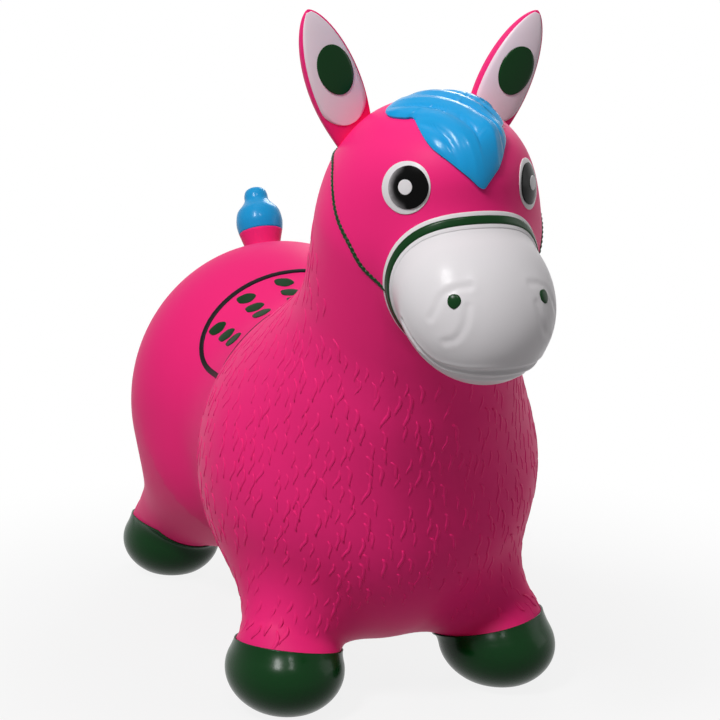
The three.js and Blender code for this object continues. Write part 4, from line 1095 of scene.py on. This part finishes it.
# camera, with its focus and centre in pixels of the square picture
view = {
    "azimuth": -19.75, "elevation": 10.43, "distance": 1374.66, "aim": (0, -7.42, 250),
    "focus": 1746.36, "cx": 349.95, "cy": 346.47, "picture": 720, "sensor": 36,
}
az, el = math.radians(view["azimuth"]), math.radians(view["elevation"])
back = np.array([math.sin(az) * math.cos(el), -math.cos(az) * math.cos(el), math.sin(el)])
lens = bpy.data.cameras.new("camera")
lens.sensor_width = view["sensor"]
lens.lens = view["focus"] / view["picture"] * view["sensor"]
lens.shift_x = (view["picture"] / 2 - view["cx"]) / view["picture"]
lens.shift_y = (view["cy"] - view["picture"] / 2) / view["picture"]
camera = addObject("camera", lens)
camera.location = (np.array(view["aim"]) + back * view["distance"]) * mm
camera.rotation_euler = Vector(-back).to_track_quat("-Z", "Y").to_euler()
bpy.context.scene.camera = camera


def lookedAt(bench):  # 1 for what the camera sees, straight, by a reflection or through a clear piece
    kinds = ("Camera", "Glossy", "Transmission")
    straight, glossy, through = [bench.node("ShaderNodeLightPath", out=f"Is {kind} Ray") for kind in kinds]
    return straight.maths("MAXIMUM", glossy).maths("MAXIMUM", through)


# floor and backdrop: white paper that fades to pure white, in metres
paper = {
    "half": 6, "drop": 0.0004, "base": (0.40, 0.40, 0.40, 1), "roughness": 0.9,
    "fadeFrom": 0.15, "fadeTo": 0.62, "glowNear": 0.86, "glowFar": 1.0, "white": (1, 1, 1, 1),
    "skyLight": 0.05, "skySeen": 0.95,
}
floorFinish = Finish("floorPaper", paper["roughness"])
floorFinish.shader.inputs["Base Color"].default_value = paper["base"]
seen = lookedAt(floorFinish)
away = floorFinish.node("ShaderNodeVectorMath", {"operation": "LENGTH"}, {0: floorFinish.place}, out="Value")
fade = {
    "Value": away, "From Min": paper["fadeFrom"], "From Max": paper["fadeTo"],
    "To Min": paper["glowNear"], "To Max": paper["glowFar"],
}
paperGlow = floorFinish.node("ShaderNodeMapRange", {"interpolation_type": "SMOOTHSTEP"}, fade)
glow = floorFinish.node("ShaderNodeEmission", {}, {"Color": paper["white"], "Strength": 1.0})
lit = Wire(floorFinish, floorFinish.shader.outputs[0])
mixed = floorFinish.node("ShaderNodeMixShader", {}, {0: seen * paperGlow, 1: lit, 2: glow})
surface = next(n for n in floorFinish.tree.nodes if n.type == "OUTPUT_MATERIAL").inputs["Surface"]
floorFinish.tree.links.new(mixed.socket, surface)
floorMesh = bpy.data.meshes.new("floor")
corners = [(x * paper["half"], y * paper["half"], 0) for x, y in ((-1, -1), (1, -1), (1, 1), (-1, 1))]
floorMesh.from_pydata(corners, [], [(0, 1, 2, 3)])
floorMesh.materials.append(floorFinish.material)
floor = addObject("floor", floorMesh)
floor.location.z = -paper["drop"]

world = bpy.data.worlds.new("studio")
bpy.context.scene.world = world
world.use_nodes = True
sky = Bench(world.node_tree)
ground = next(n for n in sky.tree.nodes if n.type == "BACKGROUND")
ground.inputs["Color"].default_value = paper["white"]
skyStrength = paper["skyLight"] + paper["skySeen"] * lookedAt(sky)
sky.tree.links.new(skyStrength.socket, ground.inputs["Strength"])

# lamps, in metres and watts, all turned to the middle of the toy
lampAim = (0, 0, 0.24)
lamps = {
    "keySoftbox": {"at": (-1.2, -0.85, 1.95), "power": 34, "size": (0.4, 0.5)},
    "frontSoftbox": {"at": (-0.4, -1.5, 2.3), "power": 9, "size": (0.3, 0.3)},
    "topSoftbox": {"at": (-0.1, 0.2, 1.8), "power": 2, "size": (1.0, 1.0)},
    "fillSoftbox": {"at": (1.6, -0.4, 0.7), "power": 3, "size": (0.9, 0.9)},
    "backSoftbox": {"at": (1.15, 1.5, 1.35), "power": 13, "size": (0.8, 0.8)},
}
for name, lamp in lamps.items():
    light = bpy.data.lights.new(name, "AREA")
    light.shape, light.energy = "RECTANGLE", lamp["power"]
    light.size, light.size_y = lamp["size"]
    holder = addObject(name, light)
    holder.location = lamp["at"]
    holder.rotation_euler = (Vector(lampAim) - Vector(lamp["at"])).to_track_quat("-Z", "Y").to_euler()
print("floor, backdrop and lamps set")

bpy.context.scene.view_settings.view_transform = "Standard"
